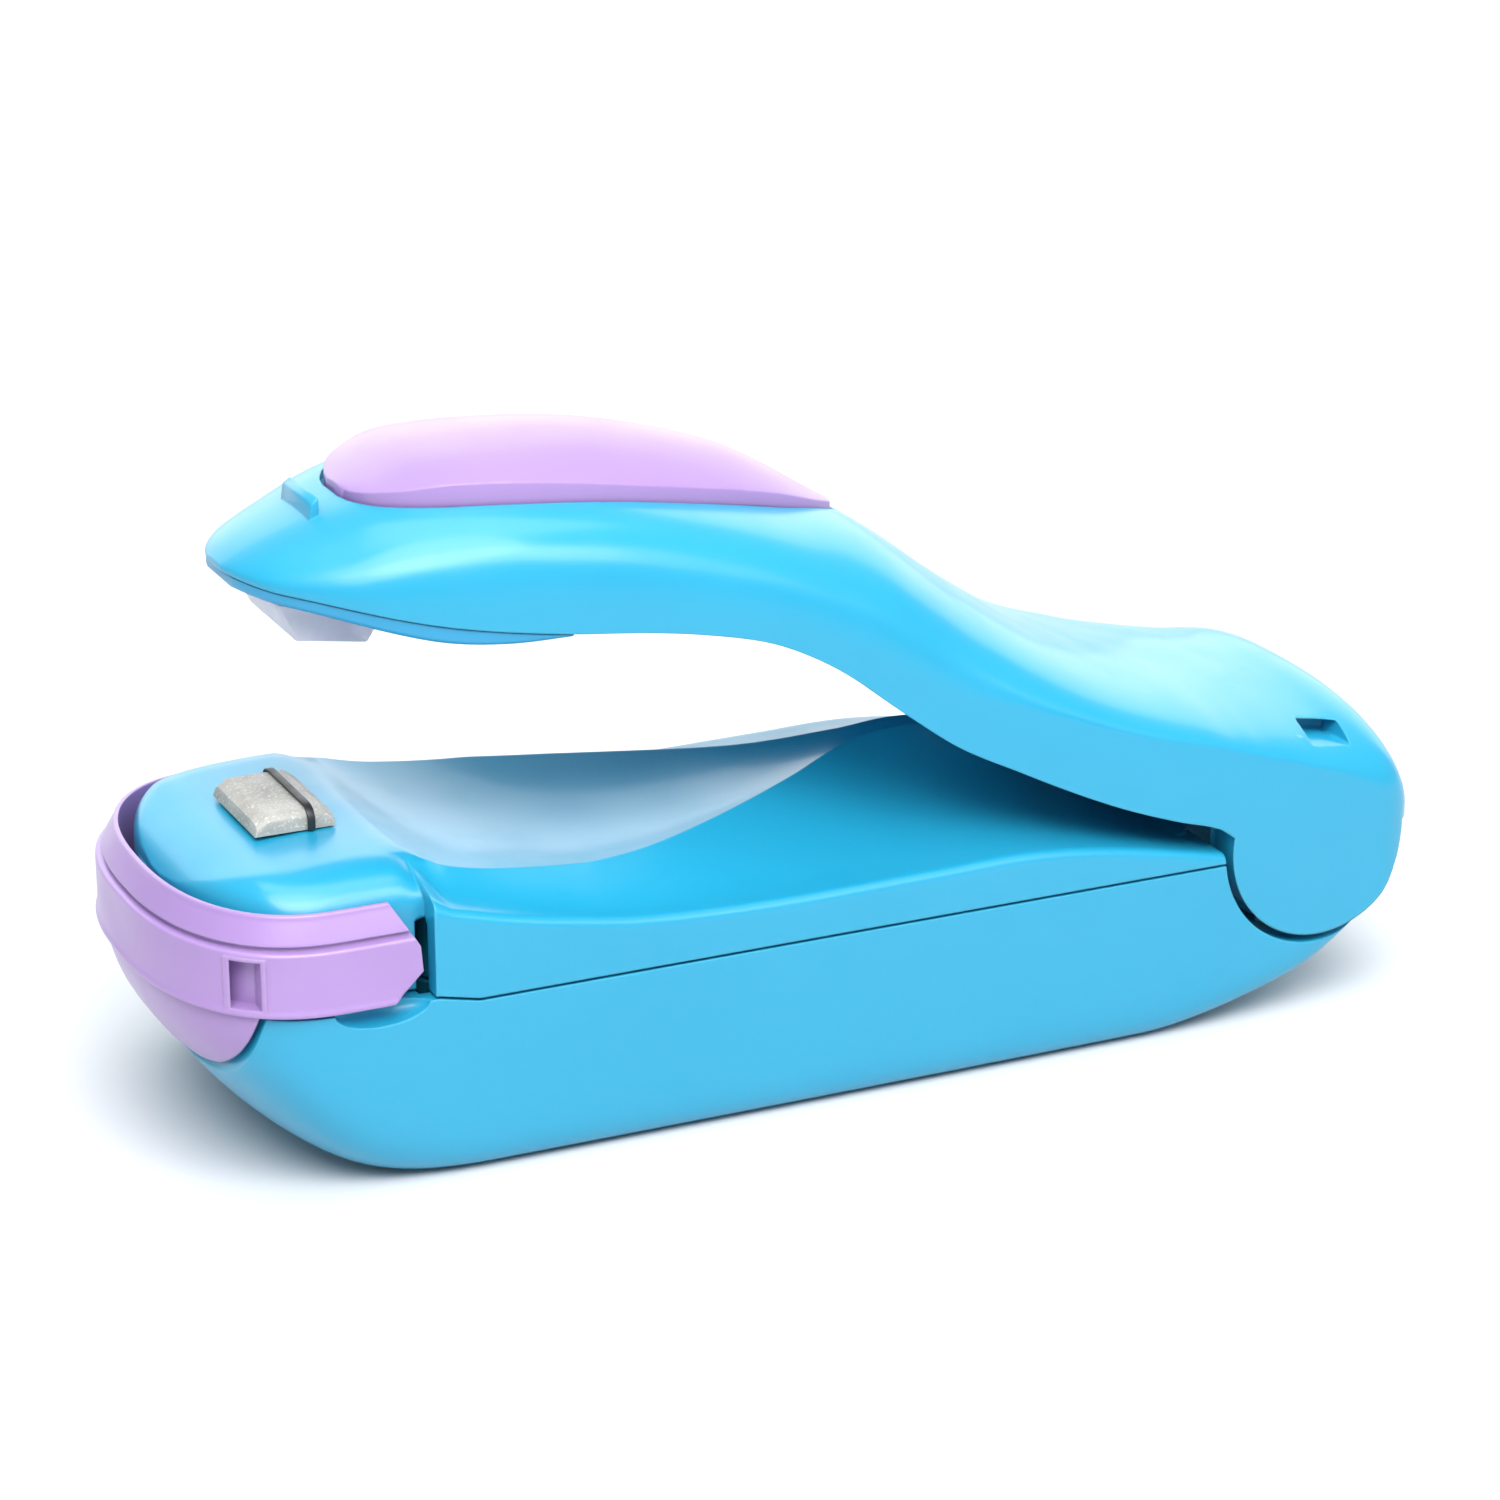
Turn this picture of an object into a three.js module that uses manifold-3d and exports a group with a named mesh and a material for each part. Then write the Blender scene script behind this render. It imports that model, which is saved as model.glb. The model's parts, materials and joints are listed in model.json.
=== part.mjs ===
// Hand-held bag heat sealer: a stapler-like pair of jaws with two AA cells in its base.
// Millimetres, +Z up. X runs along the tool with the jaws at -X and the hinge at +X, Y is across.
// The origin is on the surface it stands on, midway along and across. The jaws are open at rest.
import * as THREE from 'three';
import { ParametricGeometry } from 'three/addons/geometries/ParametricGeometry.js';
import { mergeVertices } from 'three/addons/utils/BufferGeometryUtils.js';
import Module from 'manifold-3d';

const wasm = await Module();
wasm.setup();

// ---------------------------------------------------------------- driving dimensions
const GAP = 0.3; // clearance between touching pieces
const WALL = 2; // wall of every moulded shell
const HALF_WIDTH = 22; // half of the body across
const SPLIT_Z = 17.5; // plane where the two base shells meet

const ROUND_X = -50; // where the straight sides end and the round front starts
const ROUND_POWER = 2.4; // squareness of the round front
const NOSE = { half: 19.4, front: -61.2 }; // the upper nose, inside the lock ring
const BOW = { half: HALF_WIDTH, front: -63.9 }; // the lower shell's front, under the ring
const SHOULDER_X = -41.8; // where the nose steps out to the full body
const POCKET_Z = 18.4; // step that the lock ring rests over
const BASE_REAR_X = 58.4;

const HINGE_X = 53;
const HINGE_Z = 18.8;
const CHEEK_R = 10.4; // round cheeks of the arm
const SADDLE_R = 11.2; // hollow in the base under the cheeks
const CHEEK_INNER_Y = 17.4;
const AXLE_R = 1.5;
const AXLE_HALF = 20.2;

const CELL_R = 7.2; // AA cell
const CELL_LENGTH = 49.3; // without the plus nub
const CELL_Y = 7.7;
const CELL_Z = 10;

const DOOR_FRONT_X = -33.5;
const DOOR_REAR_X = 44.5;
const BAY_REAR_X = 27.5; // end of the opening that the cells drop through
const DOOR_HALF = 15.4;
const DOOR_TONGUE = 1.2; // tongue on each side of the door
const DOOR_Z = 0.35; // the door's outside face, just clear of the table
const DOOR_THICK = 1.6;
const RAIL_TOP_Z = 3.2; // inside face of the bottom wall beside the door

const RING_PIVOT_X = -45.6;
const RING_PIVOT_Z = 21;
const RING_INNER = { half: 20, front: -62.7 };
const RING_OUTER = { half: 22.3, front: -65 };
const RING_TOP_Z = 28;
const RING_BAND_Z = 18.8; // underside of the ring's band
const CHIN_Z = 10.3; // lowest point of the chin that hangs from the band

const HEATER_X = -49.4;
const HEATER_HALF_Y = 6.2;
const HEATER_BASE_Z = 30.6;
const HEATER_TOP_Z = 32.5;
const WIRE_X = -47.9;

const SPRING_X = 24;
const SPRING_SEAT_Z = 28.4;
const SPRING_TOP_Z = 36.3;
const SPRING_R = 2.9;

const SCREW_XS = [-37.6, 38.5];
const SCREW_Y = 13.5;
const PLATE_SCREW_X = -32; // holds the plate under the arm's nose

// ---------------------------------------------------------------- materials
function finish(color, roughness, metalness = 0) {
  return new THREE.MeshStandardMaterial({ color, roughness, metalness });
}

const SKY = '#58bfe6';
const SKY_DEEP = '#3fa9d8';
const LILAC = '#d9b2ea';
const STEEL = '#b9bcc0';
const NICKEL = '#c9c6bd';
const BRASS = '#c9a45a';

// ---------------------------------------------------------------- curves
// A smooth curve through points [x, value], level beyond its ends.
function profile(points) {
  const last = points.length - 1;
  const slope = (i) => {
    const before = points[Math.max(i - 1, 0)];
    const after = points[Math.min(i + 1, last)];
    return (after[1] - before[1]) / (after[0] - before[0]);
  };
  return (x) => {
    if (x <= points[0][0]) return points[0][1];
    if (x >= points[last][0]) return points[last][1];
    const i = points.findIndex((point) => point[0] > x) - 1;
    const span = points[i + 1][0] - points[i][0];
    const t = (x - points[i][0]) / span;
    const s = 1 - t;
    return s * s * (1 + 2 * t) * points[i][1] + t * t * (3 - 2 * t) * points[i + 1][1]
      + span * s * t * (s * slope(i) - t * slope(i + 1));
  };
}

const keelZ = profile([
  [-63.9, 16.4], [-62.4, 13.4], [-60.4, 10.2], [-57.5, 6.9], [-54, 4], [-50, 1.7], [-46, 0.5], [-41, 0],
  [33, 0], [38, 0.4], [45, 1.9], [52, 4.2], [58.4, 7.4],
]);
const bottomZ = (x) => Math.max(keelZ(x), 0);
const cornerPower = profile([
  [-63.9, 2.2], [-58, 2.8], [-52, 4.6], [-44, 9], [-36, 13], [50, 13], [58.4, 6],
]);
const ridgeY = profile([
  [-62, 12], [-42, 14], [-38, 16.2], [-34, 16.7], [-26, 16.2], [-18, 14.3], [-10, 11], [2, 5.2],
  [10, 1.9], [16, 1.5],
]);
const ridgeZ = profile([
  [-61.2, 26.6], [-60.2, 27.9], [-58.4, 29.1], [-55, 30], [-43, 30.3], [-38, 28.7], [-34, 27.8],
  [-26, 26.9], [-18, 26.6], [-6, 27], [2, 27.7], [10, 29.1], [17, 29.6], [24, 28.4], [32, 24.8],
  [38, 20.6], [42, 19],
]);
const ledgeZ = profile([
  [-61.2, 25.8], [-43, 26.5], [-41.6, 27.1], [-39, 26.5], [-34, 25.2], [-28, 24], [-20, 22.8],
  [-7, 22.2], [10, 22.3], [20, 22.4], [29, 21.4], [42, 18.7],
]);
const tongueDip = profile([[-43, 0], [-34, 1.2], [-25, 2.2], [-14, 2], [-4, 1.2], [4, 0.5], [10, 0]]);

const armTopZ = profile([
  [-54.2, 55.9], [-53.2, 56.7], [-50.5, 58.1], [-46, 59.9], [-41, 61.5], [-35, 62.2], [-28, 62],
  [-20, 61], [-11, 58.9], [0, 55.8], [7.5, 53.5], [12, 50.8], [17, 47], [22, 43.4], [28, 39.6],
  [35, 36.3], [43, 33.6], [50, 32.1], [55, 31.3], [59, 30.9], [61.5, 29.7], [63.3, 27], [64.4, 23],
  [65, 19.4],
]);
const armEdgeZ = profile([
  [-54.2, 55.4], [-52, 54.9], [-48, 54.2], [-37.5, 51.9], [-27, 50.3], [-19, 49.4], [-13, 48.4],
  [-7, 46.9], [-2.7, 45], [1.5, 42.4], [8, 37.3], [13, 33.7], [19, 30.6], [24, 28.1],
  [30, 25.4], [36, 23.2], [41, 21.6], [44, 19.6], [50, 18.9], [65, 18.8],
]);
const armHalf = profile([
  [-54.2, 2], [-53.6, 4.4], [-52, 7.6], [-50, 9.8], [-46, 12.8], [-42, 14.9], [-36, 16.8], [-28, 18],
  [-15, 18.6], [0, 19], [10, 19.6], [20, 20.7], [30, 21.6], [38, 22], [60, 22], [62.5, 21.4],
  [64, 20], [65, 18],
]);
const armSideRise = profile([
  [-54.2, 0.3], [-12, 0.3], [0, 1.6], [6, 3.6], [16, 6], [26, 7.5], [36, 8.2], [41, 8.5],
  [44, 9.4], [47, 8.9], [50, 8.1], [56, 6], [60, 3.7], [63, 1.6], [65, 0.3],
]);
const armWidePower = profile([
  [-54.2, 2], [-46, 2.3], [-38, 3], [-28, 3.6], [-5, 3.2], [8, 2.6], [18, 2.2], [45, 2.1],
  [56, 2.1], [61, 2.4], [65, 2.8],
]);
const armTallPower = profile([
  [-54.2, 2], [-46, 2.3], [-38, 3], [-28, 3.6], [-5, 3.2], [8, 2.4], [18, 1.8], [45, 1.7],
  [56, 1.8], [61, 2.2], [65, 2.8],
]);
const underPlateDepth = profile([
  [-53.6, 0.8], [-46, 1.1], [-38, 1.4], [-32, 1], [-26, 0.15],
]);
const padHalf = profile([
  [-42.4, 1.8], [-42, 3.8], [-40.5, 6.7], [-37.5, 9.2], [-33, 11], [-27, 11.8], [-19, 11.4],
  [-10, 9.4], [0, 5.8], [5, 3.4], [8, 1.2],
]);
const padSeatZ = profile([
  [-42.4, 60], [-40, 60.5], [-34, 60.9], [-24, 60.1], [-10, 57.7], [0, 55.2], [8, 52.3],
]);
const padRim = profile([[-42.4, 1.7], [-34, 2.5], [-24, 2.5], [-9, 2], [8, 1.6]]);
const padCrown = profile([
  [-42.4, 0.2], [-40, 0.5], [-36, 1.2], [-28, 2.2], [-16, 3.4], [-4, 2.9], [4, 1.1], [8, 0.2],
]);

// Half width at x of a plan outline with straight sides and a round front.
function planHalf(x, plan, grow = 0) {
  if (x >= ROUND_X) return plan.half + grow;
  const q = Math.min((ROUND_X - x) / (ROUND_X - plan.front + grow), 1);
  return (plan.half + grow) * (1 - q ** ROUND_POWER) ** (1 / ROUND_POWER);
}

// Half width of the deck: the nose inside the lock ring, then the full body.
function deckHalf(x) {
  return x < SHOULDER_X ? Math.max(planHalf(x, NOSE), 1) : HALF_WIDTH;
}

// Top of the base: a domed nose, then a hollow tongue that narrows to a crest between two scallops.
function deckZ(x, y) {
  const half = deckHalf(x);
  const ridge = Math.min(ridgeY(x), 0.72 * half);
  const across = Math.abs(y);
  const top = ridgeZ(x);
  if (across <= ridge) return top - tongueDip(x) * (1 - (across / ridge) ** 2);
  const t = Math.min((across - ridge) / (half - ridge), 1);
  const shape = x < SHOULDER_X ? Math.sqrt(1 - t ** 2.4) : (1 - t) ** 2.2;
  return ledgeZ(x) + (top - ledgeZ(x)) * shape;
}

// ---------------------------------------------------------------- geometry helpers
// A closed skin through loops of [y, z] points at stations along X, shut by a flat face at each end.
function loft(stations, loopAt) {
  const count = loopAt(stations[0]).length;
  const rows = [stations[0], ...stations, stations.at(-1)];
  const last = rows.length - 1;
  const surface = (v, u, target) => {
    const row = Math.round(u * last);
    const loop = loopAt(rows[row]);
    if (row > 0 && row < last) {
      const point = loop[Math.round(v * count) % count];
      target.set(rows[row], point[0], point[1]);
      return;
    }
    const middle = [0, 1].map((k) => loop.reduce((sum, point) => sum + point[k] / count, 0));
    target.set(rows[row], middle[0], middle[1]);
  };
  return new ParametricGeometry(surface, count, last);
}

// A closed solid from a geometry, with its faces turned outwards.
function solid(geometry) {
  const bare = geometry.clone();
  bare.deleteAttribute('normal');
  bare.deleteAttribute('uv');
  const merged = mergeVertices(bare, 1e-4);
  const position = merged.attributes.position;
  const index = merged.index.array;
  const corners = [new THREE.Vector3(), new THREE.Vector3(), new THREE.Vector3()];
  const kept = [];
  let volume = 0;
  for (let i = 0; i < index.length; i += 3) {
    const [a, b, c] = index.slice(i, i + 3);
    if (a === b || b === c || c === a) continue;
    kept.push([a, b, c]);
    [a, b, c].forEach((vertex, k) => corners[k].fromBufferAttribute(position, vertex));
    volume += corners[0].dot(corners[1].cross(corners[2]));
  }
  const turned = volume < 0 ? kept.map(([a, b, c]) => [a, c, b]) : kept;
  const mesh = new wasm.Mesh({
    numProp: 3,
    vertProperties: new Float32Array(position.array),
    triVerts: new Uint32Array(turned.flat()),
  });
  return new wasm.Manifold(mesh);
}

function toGeometry(manifold) {
  const mesh = manifold.getMesh();
  const geometry = new THREE.BufferGeometry();
  geometry.setAttribute('position', new THREE.BufferAttribute(new Float32Array(mesh.vertProperties), 3));
  geometry.setIndex(new THREE.BufferAttribute(new Uint32Array(mesh.triVerts), 1));
  const flat = geometry.toNonIndexed();
  flat.computeVertexNormals();
  return flat;
}

function block(x0, x1, y0, y1, z0, z1) {
  const box = new THREE.BoxGeometry(x1 - x0, y1 - y0, z1 - z0);
  box.translate((x0 + x1) / 2, (y0 + y1) / 2, (z0 + z1) / 2);
  return solid(box);
}

// A round bar across the tool, from y0 to y1.
function barY(radius, y0, y1, x, z, sides = 32) {
  const bar = new THREE.CylinderGeometry(radius, radius, y1 - y0, sides);
  bar.translate(x, (y0 + y1) / 2, z);
  return solid(bar);
}

// A round bar standing up, from z0 to z1.
function barZ(radius, z0, z1, x, y, sides = 20) {
  const bar = new THREE.CylinderGeometry(radius, radius, z1 - z0, sides);
  bar.rotateX(Math.PI / 2);
  bar.translate(x, y, (z0 + z1) / 2);
  return solid(bar);
}

// A side outline of [x, z] points, given its width across from y0 to y1.
function sideSlab(points, y0, y1) {
  const shape = new THREE.Shape(points.map(([x, z]) => new THREE.Vector2(x, z)));
  const slab = new THREE.ExtrudeGeometry(shape, { depth: y1 - y0, bevelEnabled: false });
  slab.rotateX(Math.PI / 2);
  slab.translate(0, y1, 0);
  return solid(slab);
}

// A plan outline of [x, y] points, standing from z0 to z1.
function planSlab(points, z0, z1) {
  const shape = new THREE.Shape(points.map(([x, y]) => new THREE.Vector2(x, y)));
  const slab = new THREE.ExtrudeGeometry(shape, { depth: z1 - z0, bevelEnabled: false });
  slab.translate(0, 0, z0);
  return solid(slab);
}

// A round wire along a curve.
function wire(curve, radius, steps, sides) {
  const section = new THREE.Shape();
  for (let i = 0; i < sides; i += 1) {
    const angle = (2 * Math.PI * i) / sides;
    section[i ? 'lineTo' : 'moveTo'](radius * Math.cos(angle), radius * Math.sin(angle));
  }
  return new THREE.ExtrudeGeometry(section, { steps, extrudePath: curve, bevelEnabled: false });
}

// A coil spring standing on its base at the origin.
function coil(radius, wireRadius, height, turns, stepsPerTurn) {
  class Helix extends THREE.Curve {
    getPoint(t, target = new THREE.Vector3()) {
      const angle = 2 * Math.PI * turns * t;
      return target.set(radius * Math.cos(angle), radius * Math.sin(angle), t * height);
    }
  }
  return toGeometry(solid(wire(new Helix(), wireRadius, turns * stepsPerTurn, 6)));
}

function plate(width, depth, height) {
  return new THREE.BoxGeometry(width, depth, height);
}

// A plan outline of [x, y] points: straight sides and a round front, offset outwards by grow.
function outline(plan, grow = 0) {
  const reach = ROUND_X - plan.front + grow;
  const xs = range(0, 1, 12).map((t) => ROUND_X - reach * Math.sin((Math.PI / 2) * t));
  const near = xs.map((x) => [x, -planHalf(x, plan, grow)]);
  const far = xs.slice(0, -1).reverse().map((x) => [x, planHalf(x, plan, grow)]);
  return [[-38, -plan.half - grow], ...near, ...far, [-38, plan.half + grow]];
}

// A closed solid through plan outlines stacked at heights z.
function stack(heights, outlineAt) {
  const upright = loft(heights, outlineAt);
  upright.applyMatrix4(new THREE.Matrix4().set(0, 1, 0, 0, 0, 0, 1, 0, 1, 0, 0, 0, 0, 0, 0, 1));
  return solid(upright);
}

function range(from, to, count) {
  return Array.from({ length: count + 1 }, (_, i) => from + ((to - from) * i) / count);
}

// ---------------------------------------------------------------- base shells
const BODY_STATIONS = [
  ...range(0.97, 0.15, 9).map((t) => ROUND_X - (ROUND_X - BOW.front) * Math.sin((Math.PI / 2) * t)),
  -46, SHOULDER_X - 0.2, SHOULDER_X + 0.2, -40.5,
  ...range(-38, 30, 17),
  ...range(34, BASE_REAR_X, 6),
];

// The base's section at x, drawn in from its skin by inset.
function bodyLoop(x, inset, topSteps, bottomSteps) {
  const half = planHalf(x, BOW) - inset;
  const edge = Math.min(deckHalf(x), half - 0.15);
  const ridge = Math.min(ridgeY(x), 0.72 * deckHalf(x), edge - 0.4);
  const side = [half, ...range(edge, ridge, topSteps)];
  const middle = range(side.at(-1), -side.at(-1), topSteps).slice(1);
  const across = [...side, ...middle, ...side.slice(0, -1).reverse().map((y) => -y)];
  const top = across.map((y) => [y, deckZ(x, y) - inset]);
  const low = bottomZ(x) + inset;
  const power = 2 / cornerPower(x);
  const bottom = range(0, Math.PI, bottomSteps).slice(1, -1).map((angle) => {
    const c = Math.cos(angle);
    return [
      -half * Math.sign(c) * Math.abs(c) ** power,
      SPLIT_Z - (SPLIT_Z - low) * Math.min(1.06 * Math.sin(angle), 1) ** power,
    ];
  });
  return [...top, ...bottom];
}

function hingeBar(radius) {
  return barY(radius, -HALF_WIDTH - 2, HALF_WIDTH + 2, HINGE_X, HINGE_Z, 48);
}

// The room that the lock ring and its chin take around the nose.
function ringRoom() {
  const above = block(-80, SHOULDER_X, -30, 30, POCKET_Z, 40).subtract(planSlab(outline(NOSE), 0, 50));
  const chin = sideSlab([
    [-80, POCKET_Z + 1], [-80, 4], [-61, CHIN_Z - 0.6], [-59.4, CHIN_Z + 1.8],
    [-57.4, RING_BAND_Z - 0.4], [-57.4, POCKET_Z + 1],
  ], -30, 30);
  const kept = stack(
    [0, 8, CHIN_Z, 12.6, 15.4, POCKET_Z, 22],
    (z) => outline(NOSE, chinInset(z) - 0.4),
  );
  return above.add(chin.subtract(kept));
}

// How far the chin draws in, at height z, from the outline of the nose.
function chinInset(z) {
  const t = Math.max((POCKET_Z - z) / (POCKET_Z - CHIN_Z), 0);
  return 0.6 - 3.6 * t ** 2.2;
}

// Both shells in one piece, open inside and hollowed under the arm's cheeks.
function baseHull() {
  const skin = solid(loft(BODY_STATIONS, (x) => bodyLoop(x, 0, 6, 16)));
  const inside = [-56, -52, -47, -43, -38, -28, -18, -8, 2, 12, 22, 32, 38, 44, 50, 55];
  const cavity = solid(loft(inside, (x) => bodyLoop(x, WALL, 3, 10)));
  const nose = planSlab(outline(NOSE, -WALL), 0, 50).add(block(SHOULDER_X - 1, 80, -30, 30, 0, 50));
  const low = block(-80, 80, -30, 30, 0, POCKET_Z - WALL);
  return skin
    .subtract(hingeBar(SADDLE_R))
    .subtract(ringRoom())
    .subtract(cavity.subtract(hingeBar(SADDLE_R + WALL)).intersect(nose.add(low)));
}

const HULL = baseHull();

// The space under the parting line, which climbs a little behind the lock ring.
function underParting(z) {
  return sideSlab([
    [-90, -5], [90, -5], [90, z], [-37.5, z], [-41.5, z + 0.9], [-90, z + 0.9],
  ], -40, 40);
}

function screwPosts(z0, z1, radius) {
  return SCREW_XS.flatMap((x) => [-1, 1].map((side) => barZ(radius, z0, z1, x, side * SCREW_Y)));
}

// Lower shell: battery tray, door rails, screw posts and the two hinge lugs.
function lowerShell() {
  let shell = HULL.intersect(underParting(SPLIT_Z));
  const floor = block(DOOR_FRONT_X - 3, 52, -DOOR_HALF - 4, DOOR_HALF + 4, 0.6, RAIL_TOP_Z);
  const inner = solid(loft([-56, -50, -44, -36, 0, 33, 44, 52], (x) => bodyLoop(x, 0.8, 3, 10)));
  shell = shell.add(floor.intersect(inner));
  for (const post of screwPosts(1.2, SPLIT_Z, 3.4)) shell = shell.add(post);
  const doorTop = DOOR_Z + DOOR_THICK;
  const mouth = block(DOOR_FRONT_X, BAY_REAR_X, -DOOR_HALF - GAP, DOOR_HALF + GAP, -1, RAIL_TOP_Z + 1);
  const runway = block(DOOR_FRONT_X, 60, -DOOR_HALF - GAP, DOOR_HALF + GAP, -1, doorTop + GAP);
  const groove = DOOR_HALF + DOOR_TONGUE + GAP;
  const grooves = block(DOOR_FRONT_X, 60, -groove, groove, DOOR_Z + 0.5 - GAP, doorTop + GAP);
  shell = shell.subtract(mouth).subtract(runway).subtract(grooves);
  for (const hole of screwPosts(-2, SPLIT_Z + 1, 1.6)) shell = shell.subtract(hole);
  for (const recess of screwPosts(-2, 2.6, 2.7)) shell = shell.subtract(recess);
  for (const recess of screwPosts(-2, 4.2, 2.7).slice(2)) shell = shell.subtract(recess);
  for (const side of [-1, 1]) shell = shell.add(hingeLug(side));
  for (const side of [-1, 1]) shell = shell.subtract(fingerScoop(side));
  return shell.subtract(barY(AXLE_R + GAP, -30, 30, HINGE_X, HINGE_Z, 20));
}

// One ear that carries the axle, standing on the saddle.
function hingeLug(side) {
  const outer = CHEEK_INNER_Y - 1.2;
  const [y0, y1] = side < 0 ? [-outer, -outer + 3.4] : [outer - 3.4, outer];
  const foot = sideSlab([[49, 6], [57, 7.4], [56.4, HINGE_Z], [49.6, HINGE_Z]], y0, y1);
  return foot.add(barY(3.4, y0, y1, HINGE_X, HINGE_Z, 24));
}

// A thumbnail scoop under each arm of the lock ring.
function fingerScoop(side) {
  const ball = new THREE.SphereGeometry(5, 20, 12);
  ball.scale(1.1, 0.36, 0.42);
  ball.translate(-47, side * HALF_WIDTH, 17.2);
  return solid(ball);
}

// Upper shell: the deck, with the heater window, spring seat, screw bosses and ring sockets.
function upperShell() {
  let shell = HULL.intersect(block(-90, HINGE_X - SADDLE_R + 0.4, -40, 40, 0, 60))
    .subtract(underParting(SPLIT_Z + GAP));
  shell = shell.add(barZ(4.4, 26, SPRING_SEAT_Z - GAP, SPRING_X, 0, 24));
  const bossTop = [26.4, 19.4];
  SCREW_XS.forEach((x, i) => {
    for (const side of [-1, 1]) {
      shell = shell.add(barZ(3.2, SPLIT_Z + GAP, bossTop[i], x, side * SCREW_Y));
      shell = shell.subtract(barZ(1.5, SPLIT_Z - 1, bossTop[i] - 1, x, side * SCREW_Y));
    }
  });
  const heaterHalfX = 3.4;
  shell = shell.subtract(
    block(HEATER_X - heaterHalfX, HEATER_X + heaterHalfX, -4.6, 4.6, 24, HEATER_BASE_Z + 3),
  );
  shell = shell.subtract(barY(1.9, -30, 30, RING_PIVOT_X, RING_PIVOT_Z, 20));
  for (const side of [-1, 1]) {
    shell = shell.subtract(block(34, 37, side * 4 - 0.7, side * 4 + 0.7, 15, 40));
  }
  return shell;
}

// ---------------------------------------------------------------- battery bay
function batteryDoor() {
  const doorTop = DOOR_Z + DOOR_THICK;
  let door = block(DOOR_FRONT_X + GAP, DOOR_REAR_X, -DOOR_HALF, DOOR_HALF, DOOR_Z, doorTop);
  const tongueHalf = DOOR_HALF + DOOR_TONGUE;
  door = door.add(block(DOOR_FRONT_X + 2, DOOR_REAR_X - 2, -tongueHalf, tongueHalf, DOOR_Z + 0.5, doorTop));
  const belly = solid(loft([-40, -30, 30, 33, 36, 39, 42, 46], (x) => bodyLoop(x, DOOR_Z, 3, 10)));
  door = door.intersect(belly);
  for (const x of range(-28, -22, 4)) {
    door = door.subtract(block(x - 0.4, x + 0.4, -7, 7, DOOR_Z - 1, DOOR_Z + 0.4));
  }
  return door;
}

function cell() {
  const points = [
    [0, 0], [CELL_R - 0.6, 0], [CELL_R, 0.6], [CELL_R, CELL_LENGTH - 0.6], [CELL_R - 0.6, CELL_LENGTH],
    [2.7, CELL_LENGTH], [2.7, CELL_LENGTH + 1], [0, CELL_LENGTH + 1],
  ];
  return new THREE.LatheGeometry(points.map(([r, z]) => new THREE.Vector2(r, z)), 24);
}

function taperedContactSpring(length) {
  class Cone extends THREE.Curve {
    getPoint(t, target = new THREE.Vector3()) {
      const angle = 2 * Math.PI * 3.5 * t;
      const radius = 4.2 - 2 * t;
      return target.set(radius * Math.cos(angle), radius * Math.sin(angle), t * length);
    }
  }
  return toGeometry(solid(wire(new Cone(), 0.35, 35, 5)));
}

// ---------------------------------------------------------------- screws
function screw(shank, headRadius) {
  const points = [
    [0, 0], [headRadius, 0], [headRadius, 1.4], [1.2, 1.4], [1.2, shank - 1], [0, shank],
  ];
  const body = new THREE.LatheGeometry(points.map(([r, z]) => new THREE.Vector2(r, z)), 16);
  body.rotateX(Math.PI / 2);
  let piece = solid(body);
  piece = piece.subtract(block(-1.3, 1.3, -0.3, 0.3, -1, 0.7));
  piece = piece.subtract(block(-0.3, 0.3, -1.3, 1.3, -1, 0.7));
  return toGeometry(piece);
}

// ---------------------------------------------------------------- lock ring
function lockRing() {
  const bevel = 1.7;
  const band = stack(
    [RING_BAND_Z, 24.9, 25.1, RING_TOP_Z - 0.3, RING_TOP_Z],
    (z) => outline(RING_OUTER, z < 25 ? 0 : -0.3 - bevel * Math.max((z - 25.1) / 2.9, 0)),
  );
  const chin = stack([CHIN_Z, 11.4, 13, 15, 17, RING_BAND_Z + 0.5], (z) => outline(NOSE, chinInset(z) + 2.4));
  const bandSide = sideSlab([
    [-70, 8], [-46, 8], [-46, RING_BAND_Z], [-43.1, 21.6], [-43.3, 24.1], [-46.2, 29], [-70, 31],
  ], -30, 30);
  const chinSide = sideSlab([
    [-70, 6], [-61.4, CHIN_Z], [-60, CHIN_Z + 2], [-58, RING_BAND_Z], [-58, 24], [-70, 24],
  ], -30, 30);
  const hollow = stack(
    [0, CHIN_Z - 2, CHIN_Z, 12.6, 15.4, RING_BAND_Z + 0.3, RING_BAND_Z + 0.6, 40],
    (z) => (z > RING_BAND_Z + 0.4 ? outline(RING_INNER) : outline(NOSE, chinInset(z) + 0.3)),
  );
  let ring = band.intersect(bandSide).subtract(planSlab(outline(RING_INNER), 0, 40));
  ring = ring.add(chin.intersect(chinSide).subtract(hollow));
  for (const side of [-1, 1]) {
    const [y0, y1] = side < 0 ? [-30, -14] : [14, 30];
    const windowRoom = block(-60.2, -57.9, y0, y1, 19.5, 24.2);
    ring = ring.subtract(windowRoom.subtract(planSlab(outline(RING_OUTER, -1.3), 0, 40)));
    const [pin0, pin1] = side < 0 ? [-RING_INNER.half - 0.5, -17.9] : [17.9, RING_INNER.half + 0.5];
    ring = ring.add(barY(1.5, pin0, pin1, RING_PIVOT_X, RING_PIVOT_Z, 20));
  }
  return ring;
}

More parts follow.
